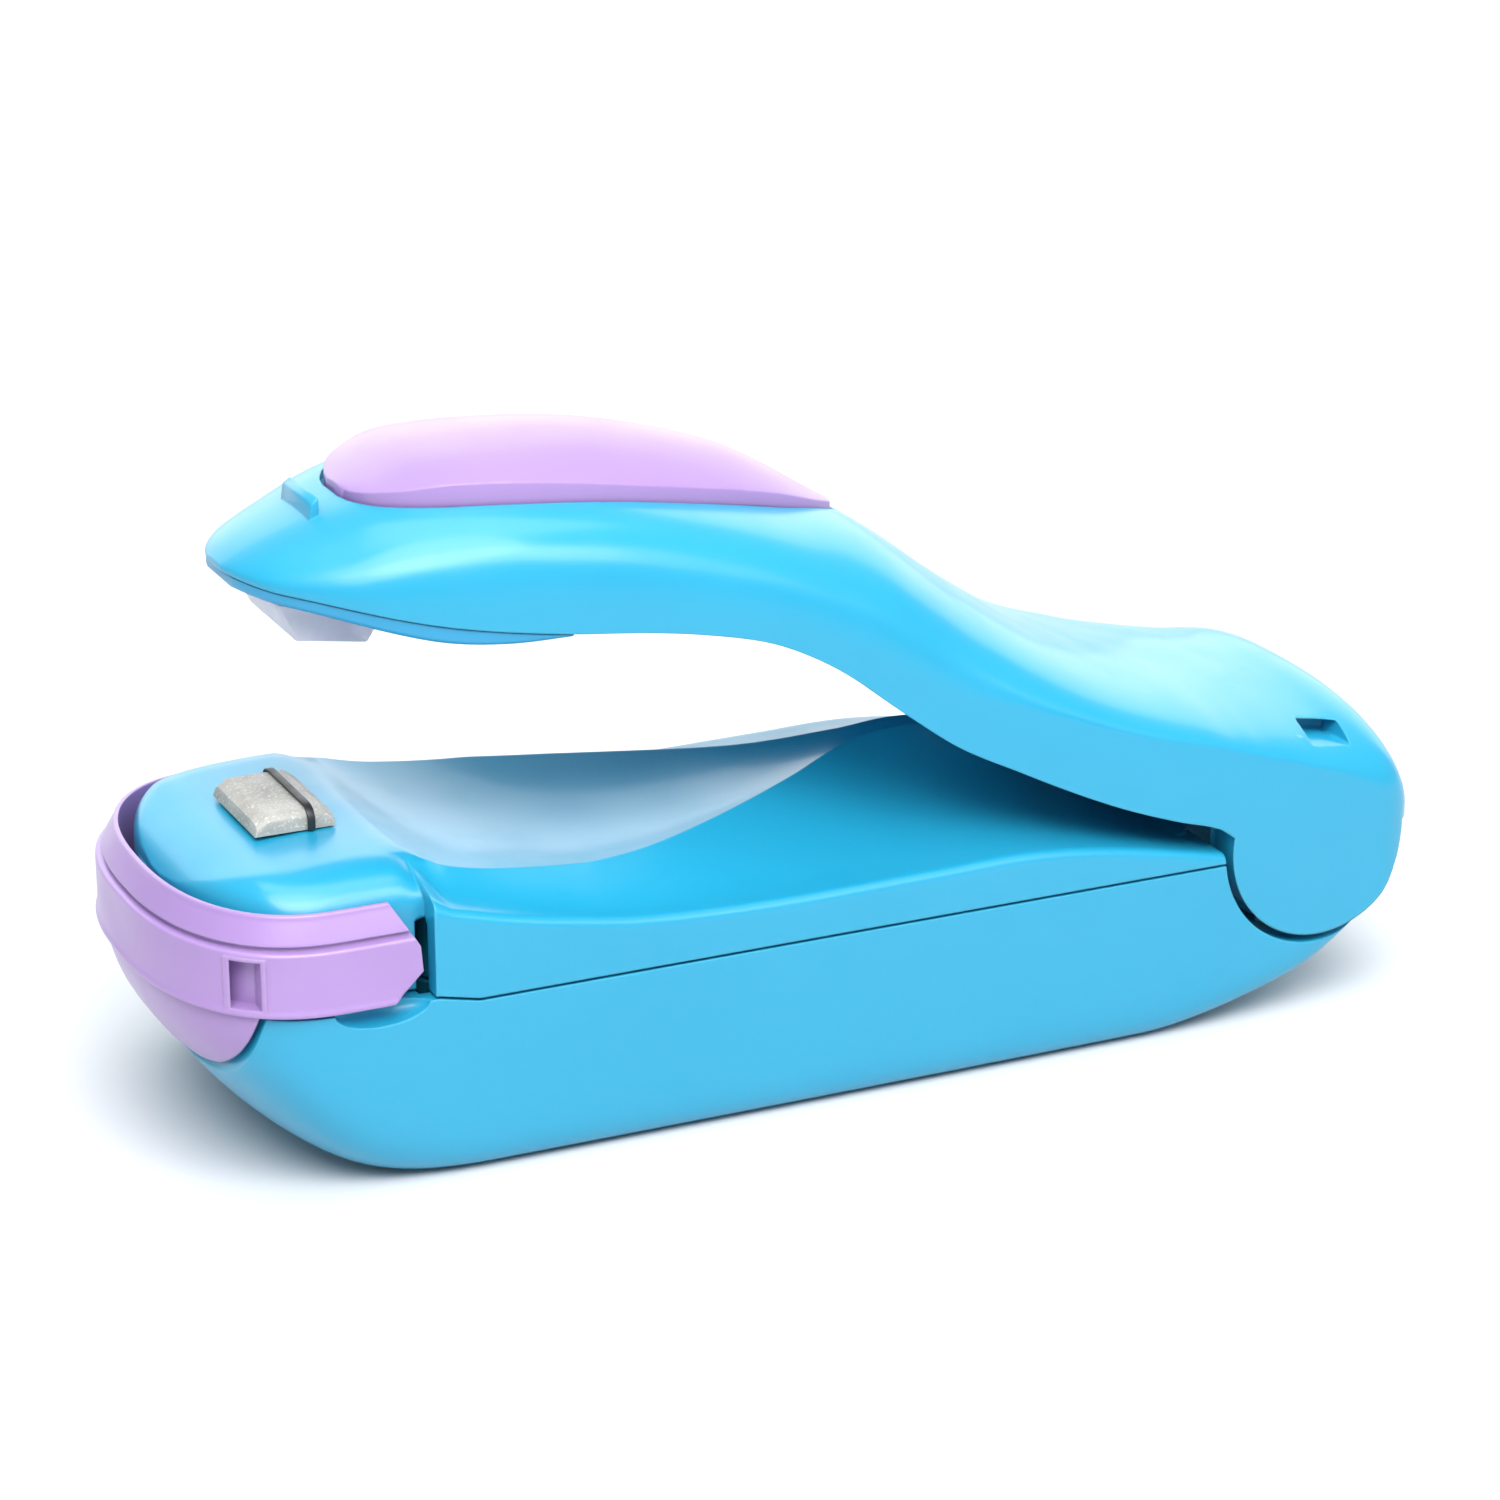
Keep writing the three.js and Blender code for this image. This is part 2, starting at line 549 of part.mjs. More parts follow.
// ---------------------------------------------------------------- heater
function heaterBlock() {
  const section = [
    [-53.4, HEATER_BASE_Z], [-45.4, HEATER_BASE_Z], [-45.6, HEATER_TOP_Z - 0.7],
    [-46.6, HEATER_TOP_Z], [-52, HEATER_TOP_Z], [-53.1, HEATER_TOP_Z - 0.7],
  ];
  let piece = sideSlab(section, -HEATER_HALF_Y, HEATER_HALF_Y);
  piece = piece.add(block(HEATER_X - 3, HEATER_X + 3, -4.2, 4.2, 27, HEATER_BASE_Z + 0.5));
  return piece;
}

// The nichrome strip folds over the block and goes down into the nose at both ends.
function heatingWire() {
  const half = HEATER_HALF_Y + GAP;
  const thick = 0.25;
  const top = HEATER_TOP_Z + GAP;
  const outline = [
    [-half - thick, HEATER_BASE_Z], [-half, HEATER_BASE_Z], [-half, top], [half, top],
    [half, HEATER_BASE_Z], [half + thick, HEATER_BASE_Z], [half + thick, top + thick],
    [-half - thick, top + thick],
  ];
  const shape = new THREE.Shape(outline.map(([y, z]) => new THREE.Vector2(y, z)));
  const strip = new THREE.ExtrudeGeometry(shape, { depth: 0.9, bevelEnabled: false });
  strip.applyMatrix4(new THREE.Matrix4().set(0, 0, 1, WIRE_X - 0.45, 1, 0, 0, 0, 0, 1, 0, 0, 0, 0, 0, 1));
  return solid(strip);
}

// ---------------------------------------------------------------- arm
const ARM_STATIONS = [
  -54.2, -53.7, -52.8, -51.2, -49, -46, -43, -39, -34, -28, -22, -16, -10, -5, 0, 4, 8, 12, 16, 20,
  25, 31, 37, 42, 47, 51.5, 55, 58, 60.5, 62.4, 63.8, 65,
];

// Section of the arm: upright sides up to a shoulder, with a crown over them.
function armLoop(x, inset, topInset, drop, steps) {
  const half = Math.max(Math.min(armHalf(x), HALF_WIDTH) - inset, 0.3);
  const low = armEdgeZ(x) - drop;
  const shoulder = armEdgeZ(x) + Math.max(armSideRise(x) - 0.75 * inset, 0.3);
  const high = Math.max(armTopZ(x) - topInset, shoulder + 0.2);
  const crown = range(0, Math.PI, steps).map((angle) => {
    const c = Math.cos(angle);
    const s = Math.max(Math.sin(angle), 0);
    return [
      half * Math.sign(c) * Math.abs(c) ** (2 / armWidePower(x)),
      shoulder + (high - shoulder) * s ** (2 / armTallPower(x)),
    ];
  });
  return [[half, low], ...crown, [-half, low]];
}

function padLoop(x, grow, drop, steps) {
  const half = padHalf(x) + grow;
  const rim = padSeatZ(x) + padRim(x);
  const crown = padCrown(x);
  const dome = range(1, -1, steps).map((s) => [s * half, rim + crown * (1 - s * s)]);
  return [...dome, [-half, padSeatZ(x) - drop], [half, padSeatZ(x) - drop]];
}

function padSolid(grow, drop) {
  const xs = [-42.4, -42.1, -41.3, -39.8, -37.3, -34, -29, -23, -17, -10, -4, 1, 5, 7, 8];
  const middle = -17.2;
  const stretch = (x) => middle + (x - middle) * (1 + grow / 25.2);
  const loopAt = (x) => padLoop(middle + (x - middle) / (1 + grow / 25.2), grow, drop, 12);
  return solid(loft(xs.map(stretch), loopAt));
}

// Arm shell: an open-bottomed cover with a pocket for the thumb pad and two round hinge cheeks.
function armShell() {
  const skin = solid(loft(ARM_STATIONS, (x) => armLoop(x, 0, 0, 0, 22)));
  const inside = [-50, -46, -40, -32, -24, -16, -8, 0, 5, 10, 16, 22, 30, 38, 46, 52, 56, 59, 61.4];
  const cavity = solid(loft(inside, (x) => armLoop(x, WALL, 3.4, 8, 14)));
  let shell = skin.subtract(cavity);
  const deepSkin = solid(loft(ARM_STATIONS, (x) => armLoop(x, 0, 0, 12, 22)));
  for (const side of [-1, 1]) {
    const [y0, y1] = side < 0 ? [-HALF_WIDTH, -CHEEK_INNER_Y] : [CHEEK_INNER_Y, HALF_WIDTH];
    shell = shell.add(barY(CHEEK_R, y0, y1, HINGE_X, HINGE_Z, 48).intersect(deepSkin));
    shell = shell.subtract(rearSlot(side));
  }
  shell = shell.add(rearWall());
  shell = shell.subtract(padSolid(GAP, 0));
  shell = shell.add(padStop());
  const edge = armEdgeZ(PLATE_SCREW_X);
  shell = shell.add(barZ(2.6, edge + GAP, armTopZ(PLATE_SCREW_X) - 3, PLATE_SCREW_X, 0, 16));
  shell = shell.subtract(barZ(1.4, edge - 3, edge + 3.6, PLATE_SCREW_X, 0, 14));
  return shell.subtract(barY(AXLE_R + GAP, -AXLE_HALF - GAP, AXLE_HALF + GAP, HINGE_X, HINGE_Z, 20));
}

// The curved wall that closes the rear between the cheeks.
function rearWall() {
  const half = CHEEK_INNER_Y + 0.5;
  const room = barY(CHEEK_R - WALL, -half - 1, half + 1, HINGE_X, HINGE_Z, 48);
  const sector = sideSlab([[HINGE_X, HINGE_Z], [73, 20.2], [73, 2], [64.2, 2.2]], -half, half);
  return barY(CHEEK_R, -half, half, HINGE_X, HINGE_Z, 48).subtract(room).intersect(sector);
}

// The small raised lip that the front of the thumb pad butts against.
function padStop() {
  return sideSlab([[-46.4, 58.6], [-45.2, 58.6], [-45.2, 61.7], [-46, 61.2]], -4, 4);
}

// A moulded slot through the rear shoulder.
function rearSlot(side) {
  const slot = new THREE.BoxGeometry(5, 7, 1.6);
  slot.rotateY(0.18);
  slot.translate(55, side * 17.4, 28.4);
  return solid(slot);
}

// The plate that closes the underside of the nose and carries the press pad.
function armUnderPlate() {
  const xs = [-53.6, -52.6, -51, -48, -44, -40, -36, -32, -29, -26];
  const loopAt = (x) => {
    const half = Math.max(armHalf(x) - 0.5, 0.8);
    const high = armEdgeZ(x) - GAP;
    const low = high - underPlateDepth(x);
    return [[half, high], [-half, high], [-half + 0.6, low], [half - 0.6, low]];
  };
  let piece = solid(loft(xs, loopAt));
  piece = piece.subtract(barZ(1.4, 40, 60, PLATE_SCREW_X, 0, 14));
  const edge = armEdgeZ(PLATE_SCREW_X);
  return piece.subtract(barZ(2.5, edge - 3, edge - 0.8, PLATE_SCREW_X, 0, 16));
}

function pressPad() {
  const section = [
    [-50.6, 53], [-48.7, 49.1], [-41.8, 48.05], [-40.4, 50.2], [-40.4, 50.75],
  ];
  return sideSlab(section, -6.4, 6.4);
}

// ---------------------------------------------------------------- assembly
const sealer = new THREE.Group();
const base = new THREE.Group();
const arm = new THREE.Group();
sealer.add(base, arm);

function place(group, name, piece, material, position = [0, 0, 0], rotation = [0, 0, 0]) {
  const geometry = piece.isBufferGeometry ? piece : toGeometry(piece);
  const mesh = new THREE.Mesh(geometry, material);
  mesh.name = name;
  mesh.position.set(...position);
  mesh.rotation.set(...rotation);
  group.add(mesh);
}

place(base, 'lower_shell', lowerShell(), finish(SKY, 0.35));
place(base, 'upper_shell', upperShell(), finish(SKY, 0.3));
place(base, 'battery_door', batteryDoor(), finish(SKY_DEEP, 0.4));
place(base, 'lock_ring', lockRing(), finish(LILAC, 0.35));
place(base, 'heater_block', heaterBlock(), finish('#b4b3ad', 0.7));
place(base, 'heating_wire', heatingWire(), finish('#4a4f50', 0.4, 0.8));

// The cells face opposite ways, and a tapered spring presses on the minus end of each.
const PLATE_FRONT_X = -32.4;
const PLATE_REAR_X = 26;
const PLATE_HALF = 0.25;
const CELL_FULL = CELL_LENGTH + 1;
const SPRING_LENGTH = PLATE_REAR_X - PLATE_FRONT_X - 2 * PLATE_HALF - CELL_FULL - 3 * GAP - 0.7;
const quarter = Math.PI / 2;
const cellRearX = PLATE_REAR_X - PLATE_HALF - GAP;
const cellFrontX = PLATE_FRONT_X + PLATE_HALF + GAP;
place(
  base, 'cell_left', cell(), finish('#2f3a46', 0.35), [cellRearX - CELL_FULL, CELL_Y, CELL_Z],
  [0, 0, -quarter],
);
place(
  base, 'cell_right', cell(), finish('#2f3a46', 0.35), [cellFrontX + CELL_FULL, -CELL_Y, CELL_Z],
  [0, 0, quarter],
);
place(base, 'front_contact_bridge', plate(0.5, 26, 9), finish(NICKEL, 0.3, 1), [PLATE_FRONT_X, 0, CELL_Z]);
for (const [name, side] of [['rear_plus_contact', 1], ['rear_minus_contact', -1]]) {
  place(base, name, plate(0.5, 11, 9), finish(NICKEL, 0.3, 1), [PLATE_REAR_X, side * CELL_Y, CELL_Z]);
}
const springSeat = PLATE_HALF + GAP + 0.35;
place(
  base, 'front_minus_spring', taperedContactSpring(SPRING_LENGTH), finish(NICKEL, 0.3, 1),
  [PLATE_FRONT_X + springSeat, CELL_Y, CELL_Z], [0, quarter, 0],
);
place(
  base, 'rear_minus_spring', taperedContactSpring(SPRING_LENGTH), finish(NICKEL, 0.3, 1),
  [PLATE_REAR_X - springSeat, -CELL_Y, CELL_Z], [0, -quarter, 0],
);

const axle = new THREE.CylinderGeometry(AXLE_R, AXLE_R, 2 * AXLE_HALF, 20);
place(base, 'hinge_axle', axle, finish(STEEL, 0.3, 1), [HINGE_X, 0, HINGE_Z]);

const spring = coil(SPRING_R, 0.4, SPRING_TOP_Z - SPRING_SEAT_Z - 0.8, 5, 12);
place(base, 'return_spring', spring, finish(STEEL, 0.3, 1), [SPRING_X, 0, SPRING_SEAT_Z + 0.4]);

for (const [row, x] of SCREW_XS.entries()) {
  for (const [name, side] of [['left', 1], ['right', -1]]) {
    const screwName = `case_screw_${row ? 'rear' : 'front'}_${name}`;
    const low = row ? 2.7 : 1.1;
    place(base, screwName, screw(row ? 15 : 20, 2.3), finish(STEEL, 0.35, 1), [x, side * SCREW_Y, low]);
  }
}

// Two leaf contacts stand in the deck, and the arm's bridge joins them when the jaws close.
const SWITCH_X = 35.5;
const SWITCH_TOP_Z = 27.8;
for (const [name, side] of [['switch_contact_left', 1], ['switch_contact_right', -1]]) {
  place(base, name, plate(2.2, 0.5, 12.4), finish(BRASS, 0.35, 1), [SWITCH_X, side * 4, SWITCH_TOP_Z - 6.2]);
}

// Insulated leads inside the base, above the cells.
function lead(points) {
  const curve = new THREE.CatmullRomCurve3(points.map((point) => new THREE.Vector3(...point)));
  return toGeometry(solid(wire(curve, 0.55, 20, 6)));
}

place(base, 'lead_plus', lead([
  [26.9, CELL_Y, 13.4], [29.4, 7.6, 16.4], [32, 5.4, 18], [35.5, 5.2, 18.4],
]), finish('#b3302b', 0.5));
place(base, 'lead_switch', lead([
  [33.6, -4, 18.5], [20, -3, 20.4], [0, -2, 21], [-24, -3, 21], [-40, -4, 23], [-49, -7, 25.4],
]), finish('#e4e2dc', 0.5));
place(base, 'lead_minus', lead([
  [26.9, -CELL_Y, 13.4], [28.6, -5, 17.6], [20, 2, 20.2], [0, 3.4, 20.6], [-24, 4.4, 20.6],
  [-40, 5, 23], [-49, 7, 25.4],
]), finish('#26282b', 0.5));

place(arm, 'arm_shell', armShell(), finish(SKY, 0.3));
place(arm, 'thumb_pad', padSolid(0, -GAP), finish(LILAC, 0.3));
place(arm, 'arm_under_plate', armUnderPlate(), finish(SKY_DEEP, 0.35));
place(arm, 'press_pad', pressPad(), finish('#cfcbdc', 0.5));
const plateScrewZ = armEdgeZ(PLATE_SCREW_X) - 2.35;
place(arm, 'plate_screw_rear', screw(5.4, 2), finish(STEEL, 0.35, 1), [PLATE_SCREW_X, 0, plateScrewZ]);

const bridgeAngle = 0.15;
place(
  arm, 'switch_bridge', plate(5, 12, 0.6), finish(BRASS, 0.35, 1), [SWITCH_X - 0.4, 0, 31.4],
  [0, bridgeAngle, 0],
);

export default sealer;
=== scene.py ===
"""Hand-held bag heat sealer: its fine moulded shells and its finishes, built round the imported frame.

Every solid is shaped in millimetres and set down in metres. X runs along the tool with the jaws at -X
and the hinge at +X, Y is across, and Z is up from the surface that the tool stands on.
"""

import json
import logging
import math
from dataclasses import dataclass, field
from enum import Enum
from typing import Callable, Iterable, Sequence

import bmesh
import bpy
from mathutils import Matrix, Vector

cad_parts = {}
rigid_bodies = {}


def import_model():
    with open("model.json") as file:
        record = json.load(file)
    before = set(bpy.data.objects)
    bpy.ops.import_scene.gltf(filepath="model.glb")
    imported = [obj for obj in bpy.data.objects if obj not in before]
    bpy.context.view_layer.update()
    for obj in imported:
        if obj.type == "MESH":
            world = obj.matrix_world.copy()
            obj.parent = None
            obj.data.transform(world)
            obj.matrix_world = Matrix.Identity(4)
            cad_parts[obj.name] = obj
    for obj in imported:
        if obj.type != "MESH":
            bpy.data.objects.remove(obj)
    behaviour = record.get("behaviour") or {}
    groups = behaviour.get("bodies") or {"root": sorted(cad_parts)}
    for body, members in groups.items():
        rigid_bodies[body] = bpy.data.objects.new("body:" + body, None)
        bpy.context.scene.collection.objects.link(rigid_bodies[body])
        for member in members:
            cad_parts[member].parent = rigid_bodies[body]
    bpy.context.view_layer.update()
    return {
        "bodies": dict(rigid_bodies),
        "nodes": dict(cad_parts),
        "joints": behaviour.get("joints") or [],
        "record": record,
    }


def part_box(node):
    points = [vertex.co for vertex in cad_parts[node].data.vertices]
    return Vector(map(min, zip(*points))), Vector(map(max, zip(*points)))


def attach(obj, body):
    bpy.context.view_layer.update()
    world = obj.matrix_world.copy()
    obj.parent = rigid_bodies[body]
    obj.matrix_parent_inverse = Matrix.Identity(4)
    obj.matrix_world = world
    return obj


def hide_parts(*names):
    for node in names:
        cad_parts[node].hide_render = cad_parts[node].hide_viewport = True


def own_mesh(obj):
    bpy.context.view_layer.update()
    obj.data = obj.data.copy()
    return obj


Point = tuple[float, float, float]
Flat = tuple[float, float]
Colour = tuple[float, float, float]

MM = 0.001
PAST: Flat = (-30, 30)  # past both sides of the tool
MIX_FIRST, MIX_SECOND, MIX_RESULT = 6, 7, 2  # the colour sockets of a Mix node
LOG = logging.getLogger("heat_sealer")


# ------------------------------------------------------------------------------------ solids
class Carve(Enum):
    """The ways in which one solid changes another."""

    CUT = "DIFFERENCE"
    JOIN = "UNION"
    KEEP = "INTERSECT"


class Across(Enum):
    """The axis that a round bar lies along."""

    Y = "y"
    Z = "z"


class Solid:
    """A closed skin in millimetres that others can join, cut or trim."""

    def __init__(self, points: Iterable[Point], faces: Iterable[Sequence[int]]) -> None:
        """Makes the skin, with its faces turned outwards.

        Args:
            points: The corners, in millimetres.
            faces: Each face as places in points.
        """
        mesh = bpy.data.meshes.new("solid")
        mesh.from_pydata([tuple(p) for p in points], [], [tuple(f) for f in faces])
        self.obj = bpy.data.objects.new("solid", mesh)
        bpy.context.scene.collection.objects.link(self.obj)
        self._edit(self._close)

    def _edit(self, change: Callable[[bmesh.types.BMesh], None]) -> None:
        """Runs a change on the skin's editable form.

        Args:
            change: What is done to the form, in place.
        """
        form = bmesh.new()
        form.from_mesh(self.obj.data)
        change(form)
        form.to_mesh(self.obj.data)
        form.free()

    @staticmethod
    def _close(form: bmesh.types.BMesh) -> None:
        """Merges points that fall together and turns every face outwards.

        Args:
            form: The skin's editable form.
        """
        bmesh.ops.remove_doubles(form, verts=form.verts, dist=1e-5)
        bmesh.ops.dissolve_degenerate(form, edges=form.edges, dist=1e-5)
        bmesh.ops.recalc_face_normals(form, faces=form.faces)

    def settle(self) -> "Solid":
        """Turns the modifiers on the skin into mesh.

        Returns:
            This solid.
        """
        graph = bpy.context.evaluated_depsgraph_get()
        mesh = bpy.data.meshes.new_from_object(self.obj.evaluated_get(graph))
        self.obj.modifiers.clear()
        self.obj.data = mesh
        return self

    def carve(self, how: Carve, *others: "Solid") -> "Solid":
        """Joins, cuts or trims the skin with others, which are used up.

        Args:
            how: What the others do to this solid.
            others: The solids to carve with, one after the other.

        Returns:
            This solid.
        """
        for other in others:
            step = self.obj.modifiers.new("carve", "BOOLEAN")
            step.operation = how.value
            step.solver = "MANIFOLD"
            step.object = other.obj
        self.settle()
        for other in others:
            bpy.data.objects.remove(other.obj)
        return self

    def cut(self, *others: "Solid") -> "Solid":
        """Takes others away from this solid."""
        return self.carve(Carve.CUT, *others)

    def join(self, *others: "Solid") -> "Solid":
        """Adds others to this solid."""
        return self.carve(Carve.JOIN, *others)

    def keep(self, *others: "Solid") -> "Solid":
        """Keeps only what lies inside the others."""
        return self.carve(Carve.KEEP, *others)

    def move(self, matrix: Matrix) -> "Solid":
        """Moves the skin's points by a matrix."""
        self.obj.data.transform(matrix)
        return self

    def soften(self, width: float, angle: float = 35.0, segments: int = 3) -> "Solid":
        """Rounds the edges that are sharper than an angle.

        Args:
            width: The width of the rounding, in millimetres.
            angle: The least angle between two faces, in degrees.
            segments: How many facets the rounding has.

        Returns:
            This solid.
        """
        step = self.obj.modifiers.new("soften", "BEVEL")
        step.width = width
        step.segments = segments
        step.limit_method = "ANGLE"
        step.angle_limit = math.radians(angle)
        step.harden_normals = False
        return self.settle()


def spread(start: float, end: float, steps: int) -> list[float]:
    """Gives steps + 1 even values from start to end."""
    return [start + (end - start) * i / steps for i in range(steps + 1)]


def loft(rows: Sequence[Sequence[Point]]) -> Solid:
    """Joins closed loops of points into one solid, with a face at each end.

    Args:
        rows: The loops, all with as many points.

    Returns:
        The closed solid.
    """
    count = len(rows[0])
    faces: list[Sequence[int]] = []
    for i in range(len(rows) - 1):
        for j in range(count):
            k = (j + 1) % count
            faces.append((i * count + j, i * count + k, (i + 1) * count + k, (i + 1) * count + j))
    faces.append(range(count))
    faces.append(range((len(rows) - 1) * count, len(rows) * count))
    return Solid([point for row in rows for point in row], faces)


def block(x: Flat, y: Flat, z: Flat) -> Solid:
    """A rectangular solid between the limits on each axis."""
    return plan_slab([(x[0], y[0]), (x[1], y[0]), (x[1], y[1]), (x[0], y[1])], z)


def side_slab(outline: Sequence[Flat], y: Flat) -> Solid:
    """A side outline of (x, z) points with its width between two values of y."""
    return loft([[(px, edge, pz) for px, pz in outline] for edge in y])


def plan_slab(outline: Sequence[Flat], z: Flat) -> Solid:
    """A plan outline of (x, y) points standing between two values of z."""
    return loft([[(px, py, edge) for px, py in outline] for edge in z])


def circle(radius: float, sides: int) -> list[Flat]:
    """Evenly spaced points round a circle about the origin."""
    turns = [2 * math.pi * i / sides for i in range(sides)]
    return [(radius * math.cos(turn), radius * math.sin(turn)) for turn in turns]


def bar(radius: float, span: Flat, centre: Flat, along: Across, sides: int = 64, edge: float = 0.0) -> Solid:
    """A round bar, with its rims rounded off where edge is given.

    Args:
        radius: The bar's radius.
        span: Its two ends along its own axis.
        centre: Its axis, as (x, z) for a bar along Y and (x, y) for one along Z.
        along: The axis that it lies along.
        sides: How many facets go round it.
        edge: The radius of its rims.

    Returns:
        The bar.
    """
    rims = [math.pi / 2 * i / 4 for i in range(5)] if edge else [math.pi / 2]
    ends = [(span[0] + edge * (1 - math.sin(a)), radius - edge * (1 - math.cos(math.pi / 2 - a))) for a in rims]
    ends = sorted(ends)
    ends += [(span[0] + span[1] - place, size) for place, size in reversed(ends)]
    rows = []
    for place, size in ends:
        ring = [(centre[0] + u, centre[1] + v) for u, v in circle(size, sides)]
        rows.append([(u, place, v) if along is Across.Y else (u, v, place) for u, v in ring])
    return loft(rows)


def lathe(outline: Sequence[Flat], sides: int = 48) -> Solid:
    """Turns an outline of (radius, height) points about Z; it starts and ends on the axis."""
    rows = [[(u, v, height) for u, v in circle(max(radius, 1e-3), sides)] for radius, height in outline]
    return loft(rows)


def tube(path: Sequence[Vector], radius: float, sides: int = 12) -> Solid:
    """A round wire along a path.

    Args:
        path: The points of its centreline.
        radius: Its radius.
        sides: How many facets go round it.

    Returns:
        The wire, with flat ends.
    """
    rows = []
    normal = Vector((0.0, 0.0, 1.0))
    for i, point in enumerate(path):
        ahead = (path[min(i + 1, len(path) - 1)] - path[max(i - 1, 0)]).normalized()
        normal = (normal - ahead * normal.dot(ahead)).normalized()
        beside = ahead.cross(normal)
        rows.append([tuple(point + beside * u + normal * v) for u, v in circle(radius, sides)])
    return loft(rows)


@dataclass(frozen=True)
class Profile:
    """A smooth curve through points (x, value), level beyond its ends."""

    points: tuple[Flat, ...]

    def _slope(self, i: int) -> float:
        """The curve's slope at its point i.

        Args:
            i: The point's place in the list.

        Returns:
            How much the value changes for each millimetre of x.
        """
        before = self.points[max(i - 1, 0)]
        after = self.points[min(i + 1, len(self.points) - 1)]
        return (after[1] - before[1]) / (after[0] - before[0])

    def __call__(self, x: float) -> float:
        """The curve's value at x.

        Args:
            x: Where the curve is read.

        Returns:
            The value there.
        """
        if x <= self.points[0][0]:
            return self.points[0][1]
        if x >= self.points[-1][0]:
            return self.points[-1][1]
        i = next(k for k, point in enumerate(self.points) if point[0] > x) - 1
        (x0, a), (x1, b) = self.points[i], self.points[i + 1]
        t = (x - x0) / (x1 - x0)
        s = 1 - t
        bend = (x1 - x0) * s * t * (s * self._slope(i) - t * self._slope(i + 1))
        return s * s * (1 + 2 * t) * a + t * t * (3 - 2 * t) * b + bend


def ease(x: float, start: float, end: float) -> float:
    """Goes smoothly from 0 at start to 1 at end."""
    t = min(max((x - start) / (end - start), 0.0), 1.0)
    return t * t * (3 - 2 * t)


def power_of(value: float, power: float) -> float:
    """A signed power: the sign of value with its size raised to power."""
    return math.copysign(abs(value) ** power, value)


# ------------------------------------------------------------------------------------ finishes
class Bench:
    """Lays out the nodes of one tree."""

    def __init__(self, tree: bpy.types.NodeTree) -> None:
        """Works on a tree, from an empty start."""
        self.tree = tree
        tree.nodes.clear()

    def add(self, kind: str, settings: dict[str, object] | None = None, **inputs: object) -> bpy.types.Node:
        """Adds a node.

        Args:
            kind: The node's type without its ShaderNode prefix.
            settings: Values for the node's own properties.
            inputs: Values or sockets for its inputs, with spaces written as underscores.

        Returns:
            The node.
        """
        node = self.tree.nodes.new("ShaderNode" + kind)
        for name, value in (settings or {}).items():
            setattr(node, name, value)
        for name, value in inputs.items():
            self.feed(node.inputs[name.replace("_", " ")], value)
        return node

    def feed(self, socket: bpy.types.NodeSocket, value: object) -> None:
        """Links a socket to another or sets its value.

        Args:
            socket: The input to feed.
            value: Another node's output, a colour or a number.
        """
        if isinstance(value, bpy.types.NodeSocket):
            self.tree.links.new(value, socket)
        elif isinstance(value, tuple) and len(value) == 3 and socket.type == "RGBA":
            socket.default_value = (*value, 1.0)
        else:
            socket.default_value = value

    def sums(self, operation: str, first: object, second: object = 0.5) -> bpy.types.NodeSocket:
        """Adds a math node and gives its result.

        Args:
            operation: The kind of sum.
            first: Its first number or socket.
            second: Its second number or socket.

        Returns:
            The result's socket.
        """
        node = self.add("Math", {"operation": operation})
        self.feed(node.inputs[0], first)
        self.feed(node.inputs[1], second)
        return node.outputs[0]

    def noise(self, scale: float, detail: float, where: bpy.types.NodeSocket) -> bpy.types.NodeSocket:
        """Adds a noise texture and gives its grey value."""
        return self.add("TexNoise", Vector=where, Scale=scale, Detail=detail).outputs[0]

    def span(self, value: object, source: Flat, target: Flat) -> bpy.types.NodeSocket:
        """Maps a value from one range onto another, held to its ends.

        Args:
            value: The number or socket to map.
            source: The two ends of its own range.
            target: The two ends of the range that it is mapped onto.

        Returns:
            The result's socket.
        """
        node = self.add("MapRange", From_Min=source[0], From_Max=source[1], To_Min=target[0], To_Max=target[1])
        self.feed(node.inputs[0], value)
        return node.outputs[0]

    def mix(self, share: object, first: object, second: object) -> bpy.types.NodeSocket:
        """Mixes two colours by a share and gives the result.

        Args:
            share: How much of the second colour shows, from 0 to 1.
            first: The first colour or socket.
            second: The second colour or socket.

        Returns:
            The result's socket.
        """
        node = self.add("Mix", {"data_type": "RGBA"})
        self.feed(node.inputs[0], share)
        self.feed(node.inputs[MIX_FIRST], first)
        self.feed(node.inputs[MIX_SECOND], second)
        return node.outputs[MIX_RESULT]


def new_effect(name: str, inputs: dict[str, float], outputs: Sequence[str]) -> tuple[bpy.types.NodeTree, Bench]:
    """Starts a shared effect as a node group with named sockets.

    Args:
        name: The effect's name.
        inputs: Its number inputs and their usual values.
        outputs: The names of its number outputs.

    Returns:
        The group and a bench to lay out its nodes.
    """
    tree = bpy.data.node_groups.new(name, "ShaderNodeTree")
    bench = Bench(tree)
    for label, value in inputs.items():
        socket = tree.interface.new_socket(label, in_out="INPUT", socket_type="NodeSocketFloat")
        socket.default_value = value
    for label in outputs:
        tree.interface.new_socket(label, in_out="OUTPUT", socket_type="NodeSocketFloat")
    return tree, bench


